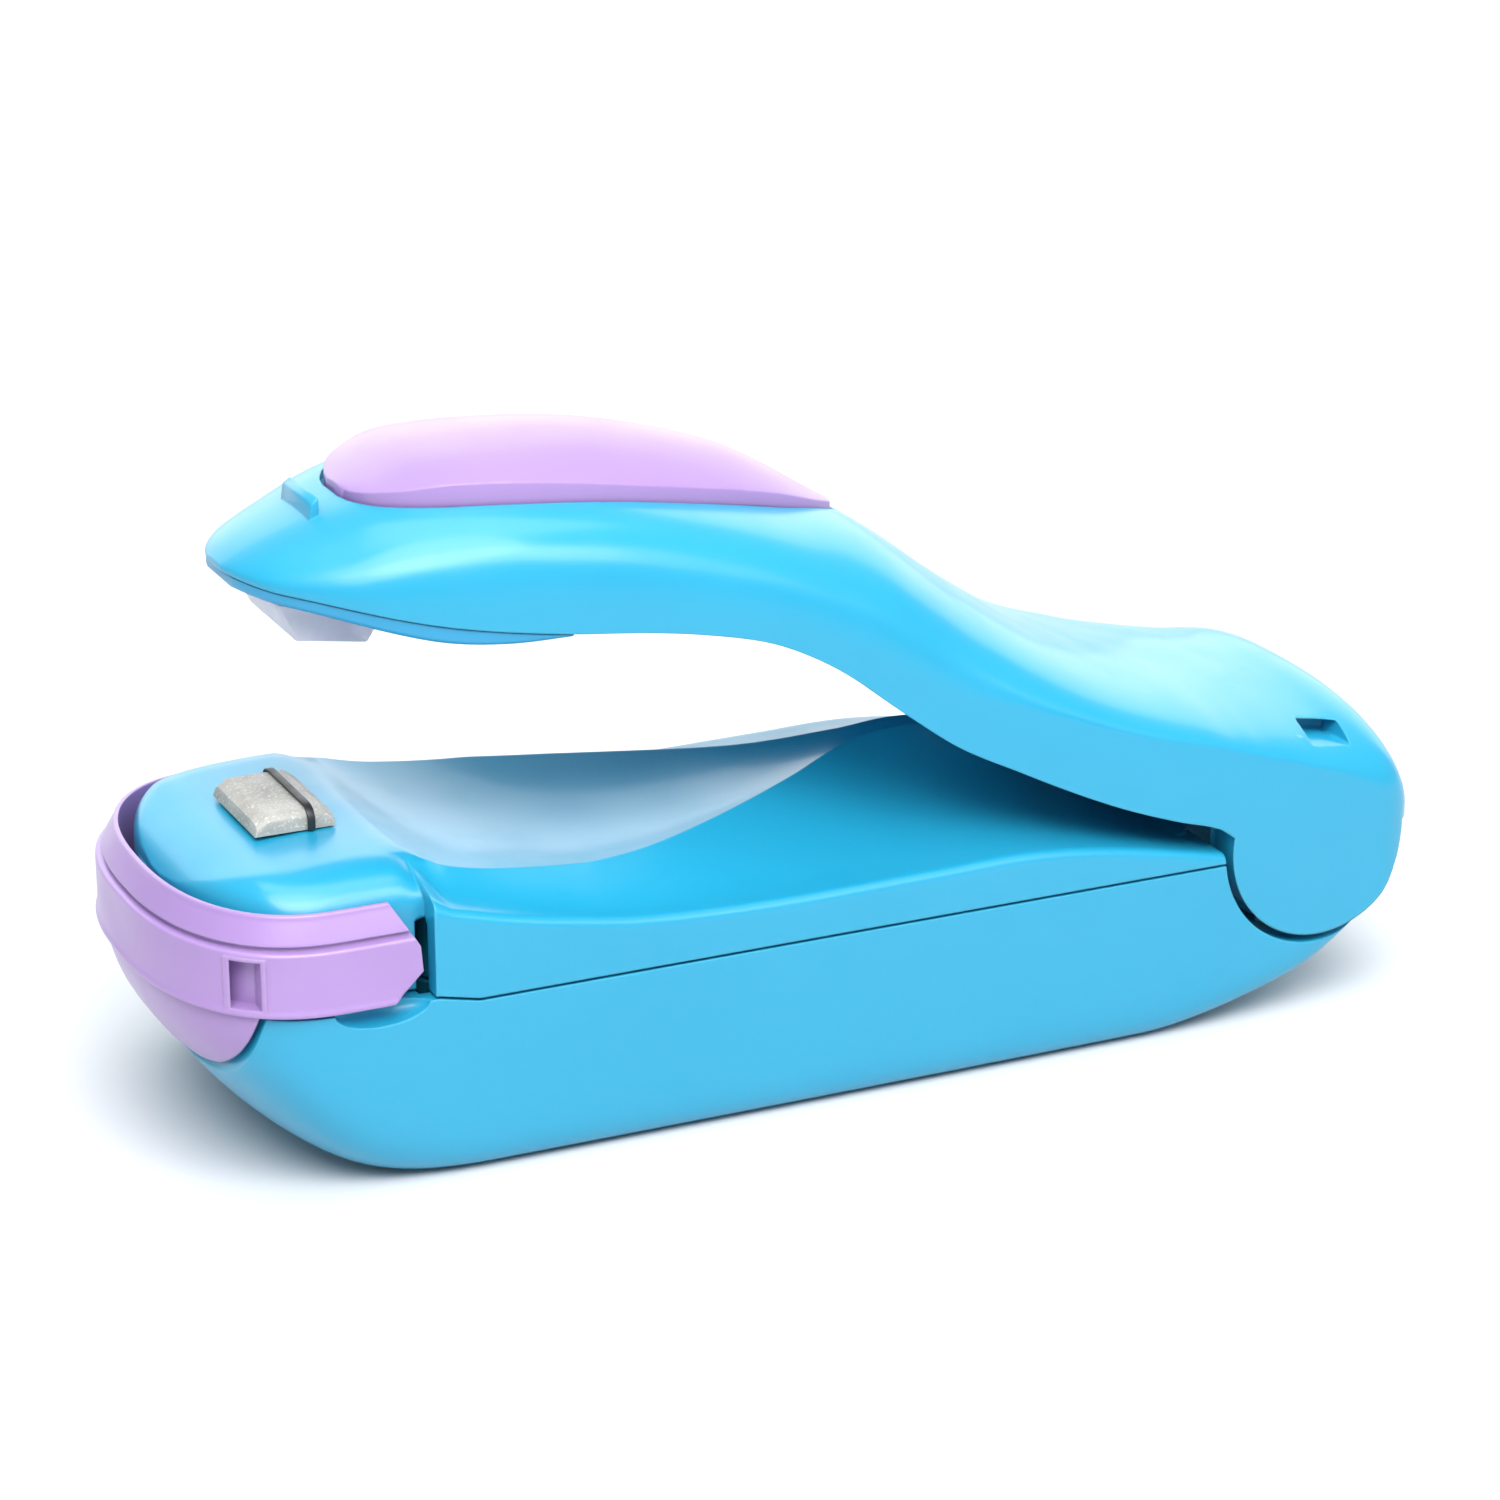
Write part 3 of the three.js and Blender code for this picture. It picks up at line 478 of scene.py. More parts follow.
def moulded_grain() -> bpy.types.NodeTree:
    """Builds the fine spark grain, soft mottling and handling marks of a moulded surface.

    Returns:
        The group, with the outputs Height, Shade and Smear.
    """
    tree, bench = new_effect(
        "moulded_grain", {"Grain Scale": 2600.0, "Mottle Scale": 70.0}, ("Height", "Shade", "Smear")
    )
    given = bench.add("TexCoord")
    source = tree.nodes.new("NodeGroupInput")
    place = given.outputs["Object"]
    fine = bench.add("TexNoise", Vector=place, Scale=source.outputs["Grain Scale"], Detail=3.0).outputs[0]
    pits = bench.add("TexVoronoi", Vector=place, Scale=source.outputs["Grain Scale"]).outputs[0]
    soft = bench.add("TexNoise", Vector=place, Scale=source.outputs["Mottle Scale"], Detail=4.0).outputs[0]
    drift = bench.noise(38.0, 2.0, place)
    sink = tree.nodes.new("NodeGroupOutput")
    grain = bench.sums("ADD", fine, bench.sums("MULTIPLY", pits, 0.35))
    bench.feed(sink.inputs["Height"], bench.sums("ADD", grain, bench.sums("MULTIPLY", drift, 2.0)))
    bench.feed(sink.inputs["Shade"], bench.span(soft, (0.3, 0.7), (0.0, 1.0)))
    bench.feed(sink.inputs["Smear"], bench.span(bench.noise(160.0, 5.0, place), (0.42, 0.72), (0.0, 1.0)))
    return tree


def edge_wear() -> bpy.types.NodeTree:
    """Builds a mask of the edges that handling has rubbed.

    Returns:
        The group, with the output Mask.
    """
    tree, bench = new_effect("edge_wear", {"Reach": 0.0004, "Amount": 1.0}, ("Mask",))
    source = tree.nodes.new("NodeGroupInput")
    rounded = bench.add("Bevel", {"samples": 4}, Radius=source.outputs["Reach"]).outputs[0]
    true = bench.add("NewGeometry").outputs["Normal"]
    facing = bench.add("VectorMath", {"operation": "DOT_PRODUCT"})
    bench.feed(facing.inputs[0], rounded)
    bench.feed(facing.inputs[1], true)
    turned = bench.span(facing.outputs["Value"], (1.0, 0.8), (0.0, 1.0))
    place = bench.add("TexCoord").outputs["Object"]
    broken = bench.span(bench.noise(420.0, 4.0, place), (0.35, 0.65), (0.35, 1.0))
    sink = tree.nodes.new("NodeGroupOutput")
    worn = bench.sums("MULTIPLY", turned, broken)
    bench.feed(sink.inputs["Mask"], bench.sums("MULTIPLY", worn, source.outputs["Amount"]))
    return tree


def drawn_metal() -> bpy.types.NodeTree:
    """Builds the fine drawing lines and dull patches of small metal parts.

    Returns:
        The group, with the outputs Height and Dull.
    """
    tree, bench = new_effect("drawn_metal", {"Line Scale": 900.0}, ("Height", "Dull"))
    source = tree.nodes.new("NodeGroupInput")
    place = bench.add("TexCoord").outputs["Object"]
    drawn = bench.add("Mapping", Vector=place, Scale=(0.08, 1.0, 1.0)).outputs[0]
    lines = bench.add("TexNoise", Vector=drawn, Scale=source.outputs["Line Scale"], Detail=5.0).outputs[0]
    sink = tree.nodes.new("NodeGroupOutput")
    bench.feed(sink.inputs["Height"], lines)
    bench.feed(sink.inputs["Dull"], bench.span(bench.noise(240.0, 4.0, place), (0.4, 0.7), (0.0, 1.0)))
    return tree


class Effects:
    """The shared effects, each built once."""

    def __init__(self) -> None:
        """Builds every effect."""
        self.grain = moulded_grain()
        self.wear = edge_wear()
        self.metal = drawn_metal()

    def use(self, bench: Bench, tree: bpy.types.NodeTree, **inputs: float) -> bpy.types.Node:
        """Places an effect in a material.

        Args:
            bench: The material's bench.
            tree: The effect.
            inputs: Values for its inputs, with spaces written as underscores.

        Returns:
            The group node.
        """
        node = bench.tree.nodes.new("ShaderNodeGroup")
        node.node_tree = tree
        for name, value in inputs.items():
            bench.feed(node.inputs[name.replace("_", " ")], value)
        return node


def start_material(name: str) -> tuple[bpy.types.Material, Bench, bpy.types.Node]:
    """Starts a material with its shader joined to its output.

    Args:
        name: The material's name.

    Returns:
        The material, its bench and its Principled shader.
    """
    material = bpy.data.materials.new(name)
    material.use_nodes = True
    bench = Bench(material.node_tree)
    shader = bench.add("BsdfPrincipled")
    bench.add("OutputMaterial", Surface=shader.outputs[0])
    return material, bench, shader


@dataclass(frozen=True)
class MouldedPlastic:
    """Glossy injection-moulded plastic with a faint grain, flow mottling and rubbed edges."""

    name: str
    colour: Colour
    shade: Colour
    worn: Colour
    roughness: float = 0.3
    coat: float = 0.25
    glow: float = 0.12
    grain: float = 0.25
    wear: float = 0.35
    soft_edge: float = 0.0003
    smear: float = 0.07
    grain_depth: float = 0.00002
    coat_roughness: float = 0.12
    glow_depth: float = 0.0016

    def build(self, effects: Effects) -> bpy.types.Material:
        """Builds the material from the shared effects.

        Args:
            effects: The shared effects.

        Returns:
            The material.
        """
        material, bench, shader = start_material(self.name)
        grain = effects.use(bench, effects.grain)
        wear = effects.use(bench, effects.wear, Amount=self.wear)
        body = bench.mix(bench.sums("MULTIPLY", grain.outputs["Shade"], 0.5), self.colour, self.shade)
        bench.feed(shader.inputs["Base Color"], bench.mix(wear.outputs["Mask"], body, self.worn))
        smear = bench.span(grain.outputs["Smear"], (0.0, 1.0), (self.roughness, self.roughness + self.smear))
        rough = bench.sums("ADD", smear, bench.sums("MULTIPLY", wear.outputs["Mask"], 0.1))
        bench.feed(shader.inputs["Roughness"], rough)
        edge = bench.add("Bevel", {"samples": 6}, Radius=self.soft_edge).outputs[0]
        bump = bench.add("Bump", Strength=self.grain, Distance=self.grain_depth, Normal=edge)
        bench.feed(bump.inputs["Height"], grain.outputs["Height"])
        bench.feed(shader.inputs["Normal"], bump.outputs[0])
        shader.inputs["Coat Weight"].default_value = self.coat
        shader.inputs["Coat Roughness"].default_value = self.coat_roughness
        shader.inputs["Subsurface Weight"].default_value = self.glow
        shader.inputs["Subsurface Radius"].default_value = tuple(0.4 + 0.6 * c for c in self.colour)
        shader.inputs["Subsurface Scale"].default_value = self.glow_depth
        return material


@dataclass(frozen=True)
class ClearSilicone:
    """Milky translucent silicone, a little dull, with moulded-in haze."""

    name: str
    colour: Colour
    haze: Colour
    roughness: float = 0.3
    smear: float = 0.12
    clearness: float = 0.45
    ior: float = 1.41
    glow: float = 0.4
    glow_depth: float = 0.002

    def build(self, effects: Effects) -> bpy.types.Material:
        """Builds the material from the shared effects.

        Args:
            effects: The shared effects.

        Returns:
            The material.
        """
        material, bench, shader = start_material(self.name)
        grain = effects.use(bench, effects.grain, Grain_Scale=1500.0, Mottle_Scale=240.0)
        bench.feed(shader.inputs["Base Color"], bench.mix(grain.outputs["Shade"], self.colour, self.haze))
        rough = bench.span(grain.outputs["Smear"], (0.0, 1.0), (self.roughness, self.roughness + self.smear))
        bench.feed(shader.inputs["Roughness"], rough)
        bump = bench.add("Bump", Strength=0.2, Distance=0.00003, Height=grain.outputs["Height"])
        bench.feed(shader.inputs["Normal"], bump.outputs[0])
        shader.inputs["Transmission Weight"].default_value = self.clearness
        shader.inputs["IOR"].default_value = self.ior
        shader.inputs["Subsurface Weight"].default_value = self.glow
        shader.inputs["Subsurface Scale"].default_value = self.glow_depth
        return material


@dataclass(frozen=True)
class FiredCeramic:
    """Pressed grey ceramic: matt, speckled, with darker scorched patches."""

    name: str
    colour: Colour
    speck: Colour
    scorch: Colour

    def build(self, effects: Effects) -> bpy.types.Material:
        """Builds the material from the shared effects.

        Args:
            effects: The shared effects.

        Returns:
            The material.
        """
        material, bench, shader = start_material(self.name)
        grain = effects.use(bench, effects.grain, Grain_Scale=1900.0, Mottle_Scale=330.0)
        wear = effects.use(bench, effects.wear, Amount=0.5, Reach=0.0005)
        place = bench.add("TexCoord").outputs["Object"]
        specks = bench.span(bench.noise(3200.0, 2.0, place), (0.56, 0.68), (0.0, 0.8))
        body = bench.mix(grain.outputs["Shade"], self.colour, self.scorch)
        body = bench.mix(specks, body, self.speck)
        bench.feed(shader.inputs["Base Color"], bench.mix(wear.outputs["Mask"], body, self.speck))
        bench.feed(shader.inputs["Roughness"], bench.span(grain.outputs["Smear"], (0.0, 1.0), (0.55, 0.75)))
        bump = bench.add("Bump", Strength=0.5, Distance=0.00005, Height=grain.outputs["Height"])
        bench.feed(shader.inputs["Normal"], bump.outputs[0])
        return material


@dataclass(frozen=True)
class SmallMetal:
    """Drawn or plated metal with fine lines, dull patches and bright edges."""

    name: str
    colour: Colour
    dull: Colour
    roughness: float = 0.28
    metallic: float = 1.0
    dulled: float = 0.2

    def build(self, effects: Effects) -> bpy.types.Material:
        """Builds the material from the shared effects.

        Args:
            effects: The shared effects.

        Returns:
            The material.
        """
        material, bench, shader = start_material(self.name)
        metal = effects.use(bench, effects.metal)
        wear = effects.use(bench, effects.wear, Amount=0.6, Reach=0.0002)
        body = bench.mix(metal.outputs["Dull"], self.colour, self.dull)
        bench.feed(shader.inputs["Base Color"], bench.mix(wear.outputs["Mask"], body, self.colour))
        rough = bench.span(metal.outputs["Dull"], (0.0, 1.0), (self.roughness, self.roughness + self.dulled))
        bench.feed(shader.inputs["Roughness"], rough)
        bump = bench.add("Bump", Strength=0.25, Distance=0.00001, Height=metal.outputs["Height"])
        bench.feed(shader.inputs["Normal"], bump.outputs[0])
        shader.inputs["Metallic"].default_value = self.metallic
        return material


@dataclass(frozen=True)
class CellJacket:
    """A dry cell's plain shrink jacket with a copper-coloured band, and its bare metal ends."""

    name: str
    jacket: Colour
    band: Colour
    metal: Colour
    band_share: Flat = (0.0, 0.0)
    bare_beyond: Flat = (0.0, 0.0)

    def build(self, effects: Effects) -> bpy.types.Material:
        """Builds the material from the shared effects, with its bands set along X.

        Args:
            effects: The shared effects.

        Returns:
            The material.
        """
        material, bench, shader = start_material(self.name)
        grain = effects.use(bench, effects.grain, Grain_Scale=900.0)
        wear = effects.use(bench, effects.wear, Amount=0.5)
        place = bench.add("TexCoord").outputs["Object"]
        along = bench.add("SeparateXYZ", Vector=place).outputs[0]
        banded = bench.span(along, self.band_share, (0.0, 1.0))
        low = bench.sums("LESS_THAN", along, self.bare_beyond[0])
        high = bench.sums("GREATER_THAN", along, self.bare_beyond[1])
        bare = bench.sums("MAXIMUM", low, high)
        body = bench.mix(banded, self.jacket, self.band)
        body = bench.mix(wear.outputs["Mask"], body, self.metal)
        bench.feed(shader.inputs["Base Color"], bench.mix(bare, body, self.metal))
        bench.feed(shader.inputs["Metallic"], bench.sums("MAXIMUM", bare, bench.sums("MULTIPLY", banded, 0.7)))
        bench.feed(shader.inputs["Roughness"], bench.span(grain.outputs["Smear"], (0.0, 1.0), (0.25, 0.38)))
        return material


class Tone(Enum):
    """The finishes of the sealer, by the record's material slots."""

    SKY = "sky_plastic"
    DEEP_SKY = "deep_sky_plastic"
    LILAC = "lilac_plastic"
    SILICONE = "press_silicone"
    CERAMIC = "heater_grey"
    STRIP = "heating_strip"
    JACKET = "cell_jacket"
    NICKEL = "nickel_plate"
    STEEL = "steel"
    BRASS = "brass_leaf"
    RED = "lead_red"
    WHITE = "lead_white"
    BLACK = "lead_black"


class Palette:
    """Every finish, made once and handed out by its tone."""

    def __init__(self) -> None:
        """Builds the shared effects and then each finish."""
        sky_worn = (0.1, 0.52, 0.7)
        finishes = {
            Tone.SKY: MouldedPlastic("sky_plastic", (0.016, 0.315, 0.5), (0.012, 0.295, 0.48), sky_worn),
            Tone.DEEP_SKY: MouldedPlastic(
                "deep_sky_plastic", (0.018, 0.28, 0.5), (0.014, 0.26, 0.47), sky_worn, roughness=0.36
            ),
            Tone.LILAC: MouldedPlastic(
                "lilac_plastic", (0.35, 0.22, 0.48), (0.32, 0.195, 0.45), (0.6, 0.44, 0.66), roughness=0.33,
                glow=0.1,
            ),
            Tone.SILICONE: ClearSilicone("press_silicone", (0.82, 0.82, 0.9), (0.72, 0.71, 0.82)),
            Tone.CERAMIC: FiredCeramic("heater_grey", (0.44, 0.42, 0.38), (0.6, 0.58, 0.54), (0.3, 0.28, 0.25)),
            Tone.STRIP: SmallMetal("heating_strip", (0.05, 0.055, 0.06), (0.03, 0.025, 0.025), 0.38, 0.7),
            Tone.JACKET: CellJacket(
                "cell_jacket", (0.015, 0.022, 0.035), (0.62, 0.28, 0.1), (0.62, 0.6, 0.55),
                band_share=(0.0132, 0.0134), bare_beyond=(-0.0312, 0.0252),
            ),
            Tone.NICKEL: SmallMetal("nickel_plate", (0.66, 0.64, 0.58), (0.5, 0.48, 0.43)),
            Tone.STEEL: SmallMetal("steel", (0.56, 0.57, 0.6), (0.4, 0.41, 0.44)),
            Tone.BRASS: SmallMetal("brass_leaf", (0.75, 0.5, 0.16), (0.5, 0.32, 0.1)),
            Tone.RED: MouldedPlastic("lead_red", (0.5, 0.03, 0.02), (0.42, 0.02, 0.02), (0.7, 0.2, 0.18)),
            Tone.WHITE: MouldedPlastic("lead_white", (0.76, 0.75, 0.7), (0.7, 0.68, 0.62), (0.85, 0.85, 0.8)),
            Tone.BLACK: MouldedPlastic("lead_black", (0.02, 0.02, 0.022), (0.03, 0.03, 0.03), (0.1, 0.1, 0.1)),
        }
        effects = Effects()
        self._made = {tone: finish.build(effects) for tone, finish in finishes.items()}

    def dress(self, piece: bpy.types.Object, tone: Tone) -> None:
        """Gives a piece its finish.

        Args:
            piece: The object to dress.
            tone: Its finish.
        """
        piece.data.materials.clear()
        piece.data.materials.append(self._made[tone])


class Bay:
    """The sealer's sub-assemblies share this: setting a solid down as a finished piece."""

    def __init__(self, palette: Palette) -> None:
        """Keeps the palette for dressing the pieces."""
        self.palette = palette

    def set_down(self, solid: Solid, node: str, body: str, tone: Tone, sharp: float = 32.0) -> bpy.types.Object:
        """Turns a solid into a finished piece that stands for a node of the frame.

        Args:
            solid: The shape, in millimetres.
            node: The frame's node that it stands for, which also names it.
            body: The body that it moves with.
            tone: Its finish.
            sharp: The least angle that stays a crisp edge, in degrees.

        Returns:
            The piece.
        """
        piece = solid.obj
        piece.name = f"{node}_fine"
        piece.data.name = piece.name
        piece.data.transform(Matrix.Scale(MM, 4))
        piece.data.shade_smooth()
        piece.data.set_sharp_from_angle(angle=math.radians(sharp))
        self.palette.dress(piece, tone)
        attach(piece, body)
        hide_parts(node)
        LOG.info("%s: %d faces on %s", piece.name, len(piece.data.polygons), body)
        return piece


# ------------------------------------------------------------------------------------ base
@dataclass(frozen=True)
class Plan:
    """A plan outline with straight sides and a round front."""

    half: float
    front: float
    round_x: float = -50.0
    power: float = 2.4

    def half_at(self, x: float, grow: float = 0.0) -> float:
        """Half the width at x, with the outline offset outwards by grow.

        Args:
            x: The place along the tool.
            grow: How far the outline is offset outwards.

        Returns:
            Half the width there.
        """
        if x >= self.round_x:
            return self.half + grow
        q = min((self.round_x - x) / (self.round_x - self.front + grow), 1.0)
        return (self.half + grow) * (1 - q**self.power) ** (1 / self.power)

    def outline(self, grow: float = 0.0, steps: int = 40, rear: float = -38.0) -> list[Flat]:
        """The outline's points, from its straight near side round the front to the far side.

        Args:
            grow: How far it is offset outwards.
            steps: How many facets each quarter of the front has.
            rear: Where the straight sides end.

        Returns:
            The outline as (x, y) points.
        """
        reach = self.round_x - self.front + grow
        turns = [math.pi / 2 * i / steps for i in range(steps + 1)]
        bend = 2 / self.power
        near = [
            (self.round_x - reach * math.sin(a) ** bend, -(self.half + grow) * abs(math.cos(a)) ** bend)
            for a in turns
        ]
        near[-1] = (self.round_x - reach, 0.0)
        far = [(x, -y) for x, y in reversed(near[:-1])]
        return [(rear, -self.half - grow), *near, *far, (rear, self.half + grow)]


@dataclass(frozen=True)
class BaseForm:
    """The outside form of the base, and the sizes that its shells share."""

    gap: float = 0.3
    wall: float = 2.0
    half_width: float = 22.0
    split_z: float = 17.5
    nose: Plan = Plan(19.4, -61.2)
    bow: Plan = Plan(22.0, -63.9)
    shoulder_x: float = -41.8
    pocket_z: float = 18.4
    hinge: Flat = (53.0, 18.8)
    saddle_r: float = 11.2
    edge_r: float = 0.9
    door_half: float = 15.4
    door_z: Flat = (0.35, 1.95)
    door_tongue: float = 1.2
    ring_pivot: Flat = (-45.6, 21.0)
    chin_foot: float = 10.3
    chin_draft: float = 3.6
    keel: Profile = Profile((
        (-63.9, 16.4), (-62.4, 13.4), (-60.4, 10.2), (-57.5, 6.9), (-54, 4), (-50, 1.7), (-46, 0.5), (-41, 0),
        (33, 0), (38, 0.4), (45, 1.9), (52, 4.2), (58.4, 7.4),
    ))
    corner: Profile = Profile((
        (-63.9, 2.2), (-58, 2.8), (-52, 4.6), (-44, 9), (-36, 13), (50, 13), (58.4, 6),
    ))
    ridge_y: Profile = Profile((
        (-62, 12), (-42, 14), (-38, 16.2), (-34, 16.7), (-26, 16.2), (-18, 14.3), (-10, 11), (2, 5.2), (10, 1.9),
        (16, 1.5),
    ))
    ridge_z: Profile = Profile((
        (-61.2, 26.6), (-60.2, 27.9), (-58.4, 29.1), (-55, 30), (-43, 30.3), (-38, 28.7), (-34, 27.8),
        (-26, 26.9), (-18, 26.6), (-6, 27), (2, 27.7), (10, 29.1), (17, 29.6), (24, 28.4), (32, 24.8),
        (38, 20.6), (42, 19),
    ))
    ledge_z: Profile = Profile((
        (-61.2, 25.8), (-43, 26.5), (-41.6, 27.1), (-39, 26.5), (-34, 25.2), (-28, 24), (-20, 22.8), (-7, 22.2),
        (10, 22.3), (20, 22.4), (29, 21.4), (42, 18.7),
    ))
    dip: Profile = Profile(((-43, 0), (-34, 1.2), (-25, 2.2), (-14, 2), (-4, 1.2), (4, 0.5), (10, 0)))

    def deck_half(self, x: float) -> float:
        """Half the width of the deck: the nose inside the lock ring, then the full body."""
        return max(self.nose.half_at(x), 1.0) if x < self.shoulder_x else self.half_width

    def ridge(self, x: float) -> float:
        """Where the flat or hollow middle of the deck turns down to its sides."""
        return min(self.ridge_y(x), 0.72 * self.deck_half(x))

    def deck_z(self, x: float, y: float, fillet: float = 0.0) -> float:
        """The top of the base: a domed nose, then a hollow tongue between two scallops.

        Args:
            x: The place along the tool.
            y: The place across it.
            fillet: The radius of the rounding along the deck's outer edge.

        Returns:
            The height of the skin.
        """
        half = self.deck_half(x)
        ridge = self.ridge(x)
        across = abs(y)
        top = self.ridge_z(x)
        if across <= ridge:
            return top - self.dip(x) * (1 - (across / ridge) ** 2)
        t = min((across - ridge) / (half - ridge), 1.0)
        dome = math.sqrt(max(1 - t**2.4, 0.0))
        hollow = (1 - t) ** 2.2
        share = ease(x, -43.6, -39.6)
        height = self.ledge_z(x) + (top - self.ledge_z(x)) * (dome * (1 - share) + hollow * share)
        inwards = self.half_width - across
        if x > self.shoulder_x and inwards < fillet:
            height -= fillet - math.sqrt(max(fillet**2 - (fillet - inwards) ** 2, 0.0))
        return height

    def section(self, x: float, inset: float, top_steps: int, bottom_steps: int) -> list[Point]:
        """The base's section at x, drawn in from its skin by inset.

        Args:
            x: The place along the tool.
            inset: How far inside the skin the section lies.
            top_steps: How many steps each part of the deck has.
            bottom_steps: How many steps the sides and bottom have.

        Returns:
            The section as a closed loop.
        """
        half = self.bow.half_at(x) - inset
        edge = min(self.deck_half(x), half - 0.15)
        ridge = min(self.ridge(x), edge - 0.4)
        flank = [ridge + (edge - ridge) * math.sin(math.pi / 2 * s) for s in spread(1, 0, top_steps)]
        rim = [half - self.edge_r * s for s in (0, 0.03, 0.1, 0.2, 0.35, 0.55, 0.8)] if edge > 21 - inset else [half]
        side = rim + [y for y in flank if y < rim[-1] - 0.02]
        while len(side) < len(flank) + 7:
            side.insert(1, (side[0] + side[1]) / 2)
        middle = spread(side[-1], -side[-1], top_steps)[1:]
        across = side + middle + [-y for y in reversed(side[:-1])]
        fillet = self.edge_r if inset == 0 else 0.0
        top = [(x, y, self.deck_z(x, y, fillet) - inset) for y in across]
        low = max(self.keel(x), 0.0) + inset
        power = 2 / self.corner(x)
        bottom = []
        for angle in spread(0, math.pi, bottom_steps)[1:-1]:
            y = -half * power_of(math.cos(angle), power)
            depth = min(1.06 * math.sin(angle), 1.0) ** power
            bottom.append((x, y, self.split_z - (self.split_z - low) * depth))
        return top + bottom

    def under_parting(self, z: float) -> Solid:
        """The space under the parting line, which climbs a little behind the lock ring.

        Args:
            z: The height of the parting line along the body.

        Returns:
            The space, as one solid.
        """
        climb = 0.9
        line = [(-90, -5), (90, -5), (90, z), (-37.5, z), (-41.5, z + climb), (-90, z + climb)]
        return side_slab(line, (-40, 40))

    def saddle(self, grow: float = 0.0) -> Solid:
        """The round hollow under the arm's cheeks."""
        reach = self.half_width + 2
        return bar(self.saddle_r + grow, (-reach, reach), self.hinge, Across.Y, 128)

    def chin_inset(self, z: float) -> float:
        """How far the lock ring's chin draws in, at a height, from the outline of the nose."""
        t = max((self.pocket_z - z) / (self.pocket_z - self.chin_foot), 0.0)
        return 0.6 - self.chin_draft * t**2.2

    def ring_room(self) -> Solid:
        """The room that the lock ring and its chin take around the nose.

        Returns:
            The room, as the solid to cut away.
        """
        around = plan_slab([(-80, -30), (self.shoulder_x, -30), (self.shoulder_x, 30), (-80, 30)], (self.pocket_z, 40))
        around.cut(plan_slab(self.nose.outline(), (0, 50)))
        line = [(-80, 19.4), (-80, 4), (-61, 9.7), (-59.4, 12.1), (-57.4, 18.4), (-57.4, 19.4)]
        chin = side_slab(line, PAST)
        heights = [0, 8, 10.3, 11.4, 12.6, 14, 15.4, 17, self.pocket_z, 22]
        kept = [[(x, y, z) for x, y in self.nose.outline(self.chin_inset(z) - 0.4)] for z in heights]
        return around.join(chin.cut(loft(kept)))

    def hull(self) -> Solid:
        """Both shells in one piece, open inside and hollowed under the arm's cheeks.

        Returns:
            The hull.
        """
        reach = self.bow.round_x - self.bow.front
        front = [self.bow.round_x - reach * math.sin(math.pi / 2 * t) for t in spread(0.985, 0.04, 34)]
        body = spread(self.bow.round_x, self.shoulder_x - 0.1, 9) + spread(self.shoulder_x + 0.1, 58.4, 110)
        skin = loft([self.section(x, 0.0, 14, 60) for x in front + body])
        inside = spread(-56, 55, 44)
        cavity = loft([self.section(x, self.wall, 8, 36) for x in inside])
        cavity.cut(self.saddle(self.wall))
        room = plan_slab(self.nose.outline(-self.wall), (0, 50))
        room.join(block((self.shoulder_x - 1, 80), PAST, (0, 50)))
        room.join(block((-80, 80), PAST, (-1, self.pocket_z - self.wall)))
        cavity.keep(room)
        return skin.cut(self.saddle(), self.ring_room(), cavity)


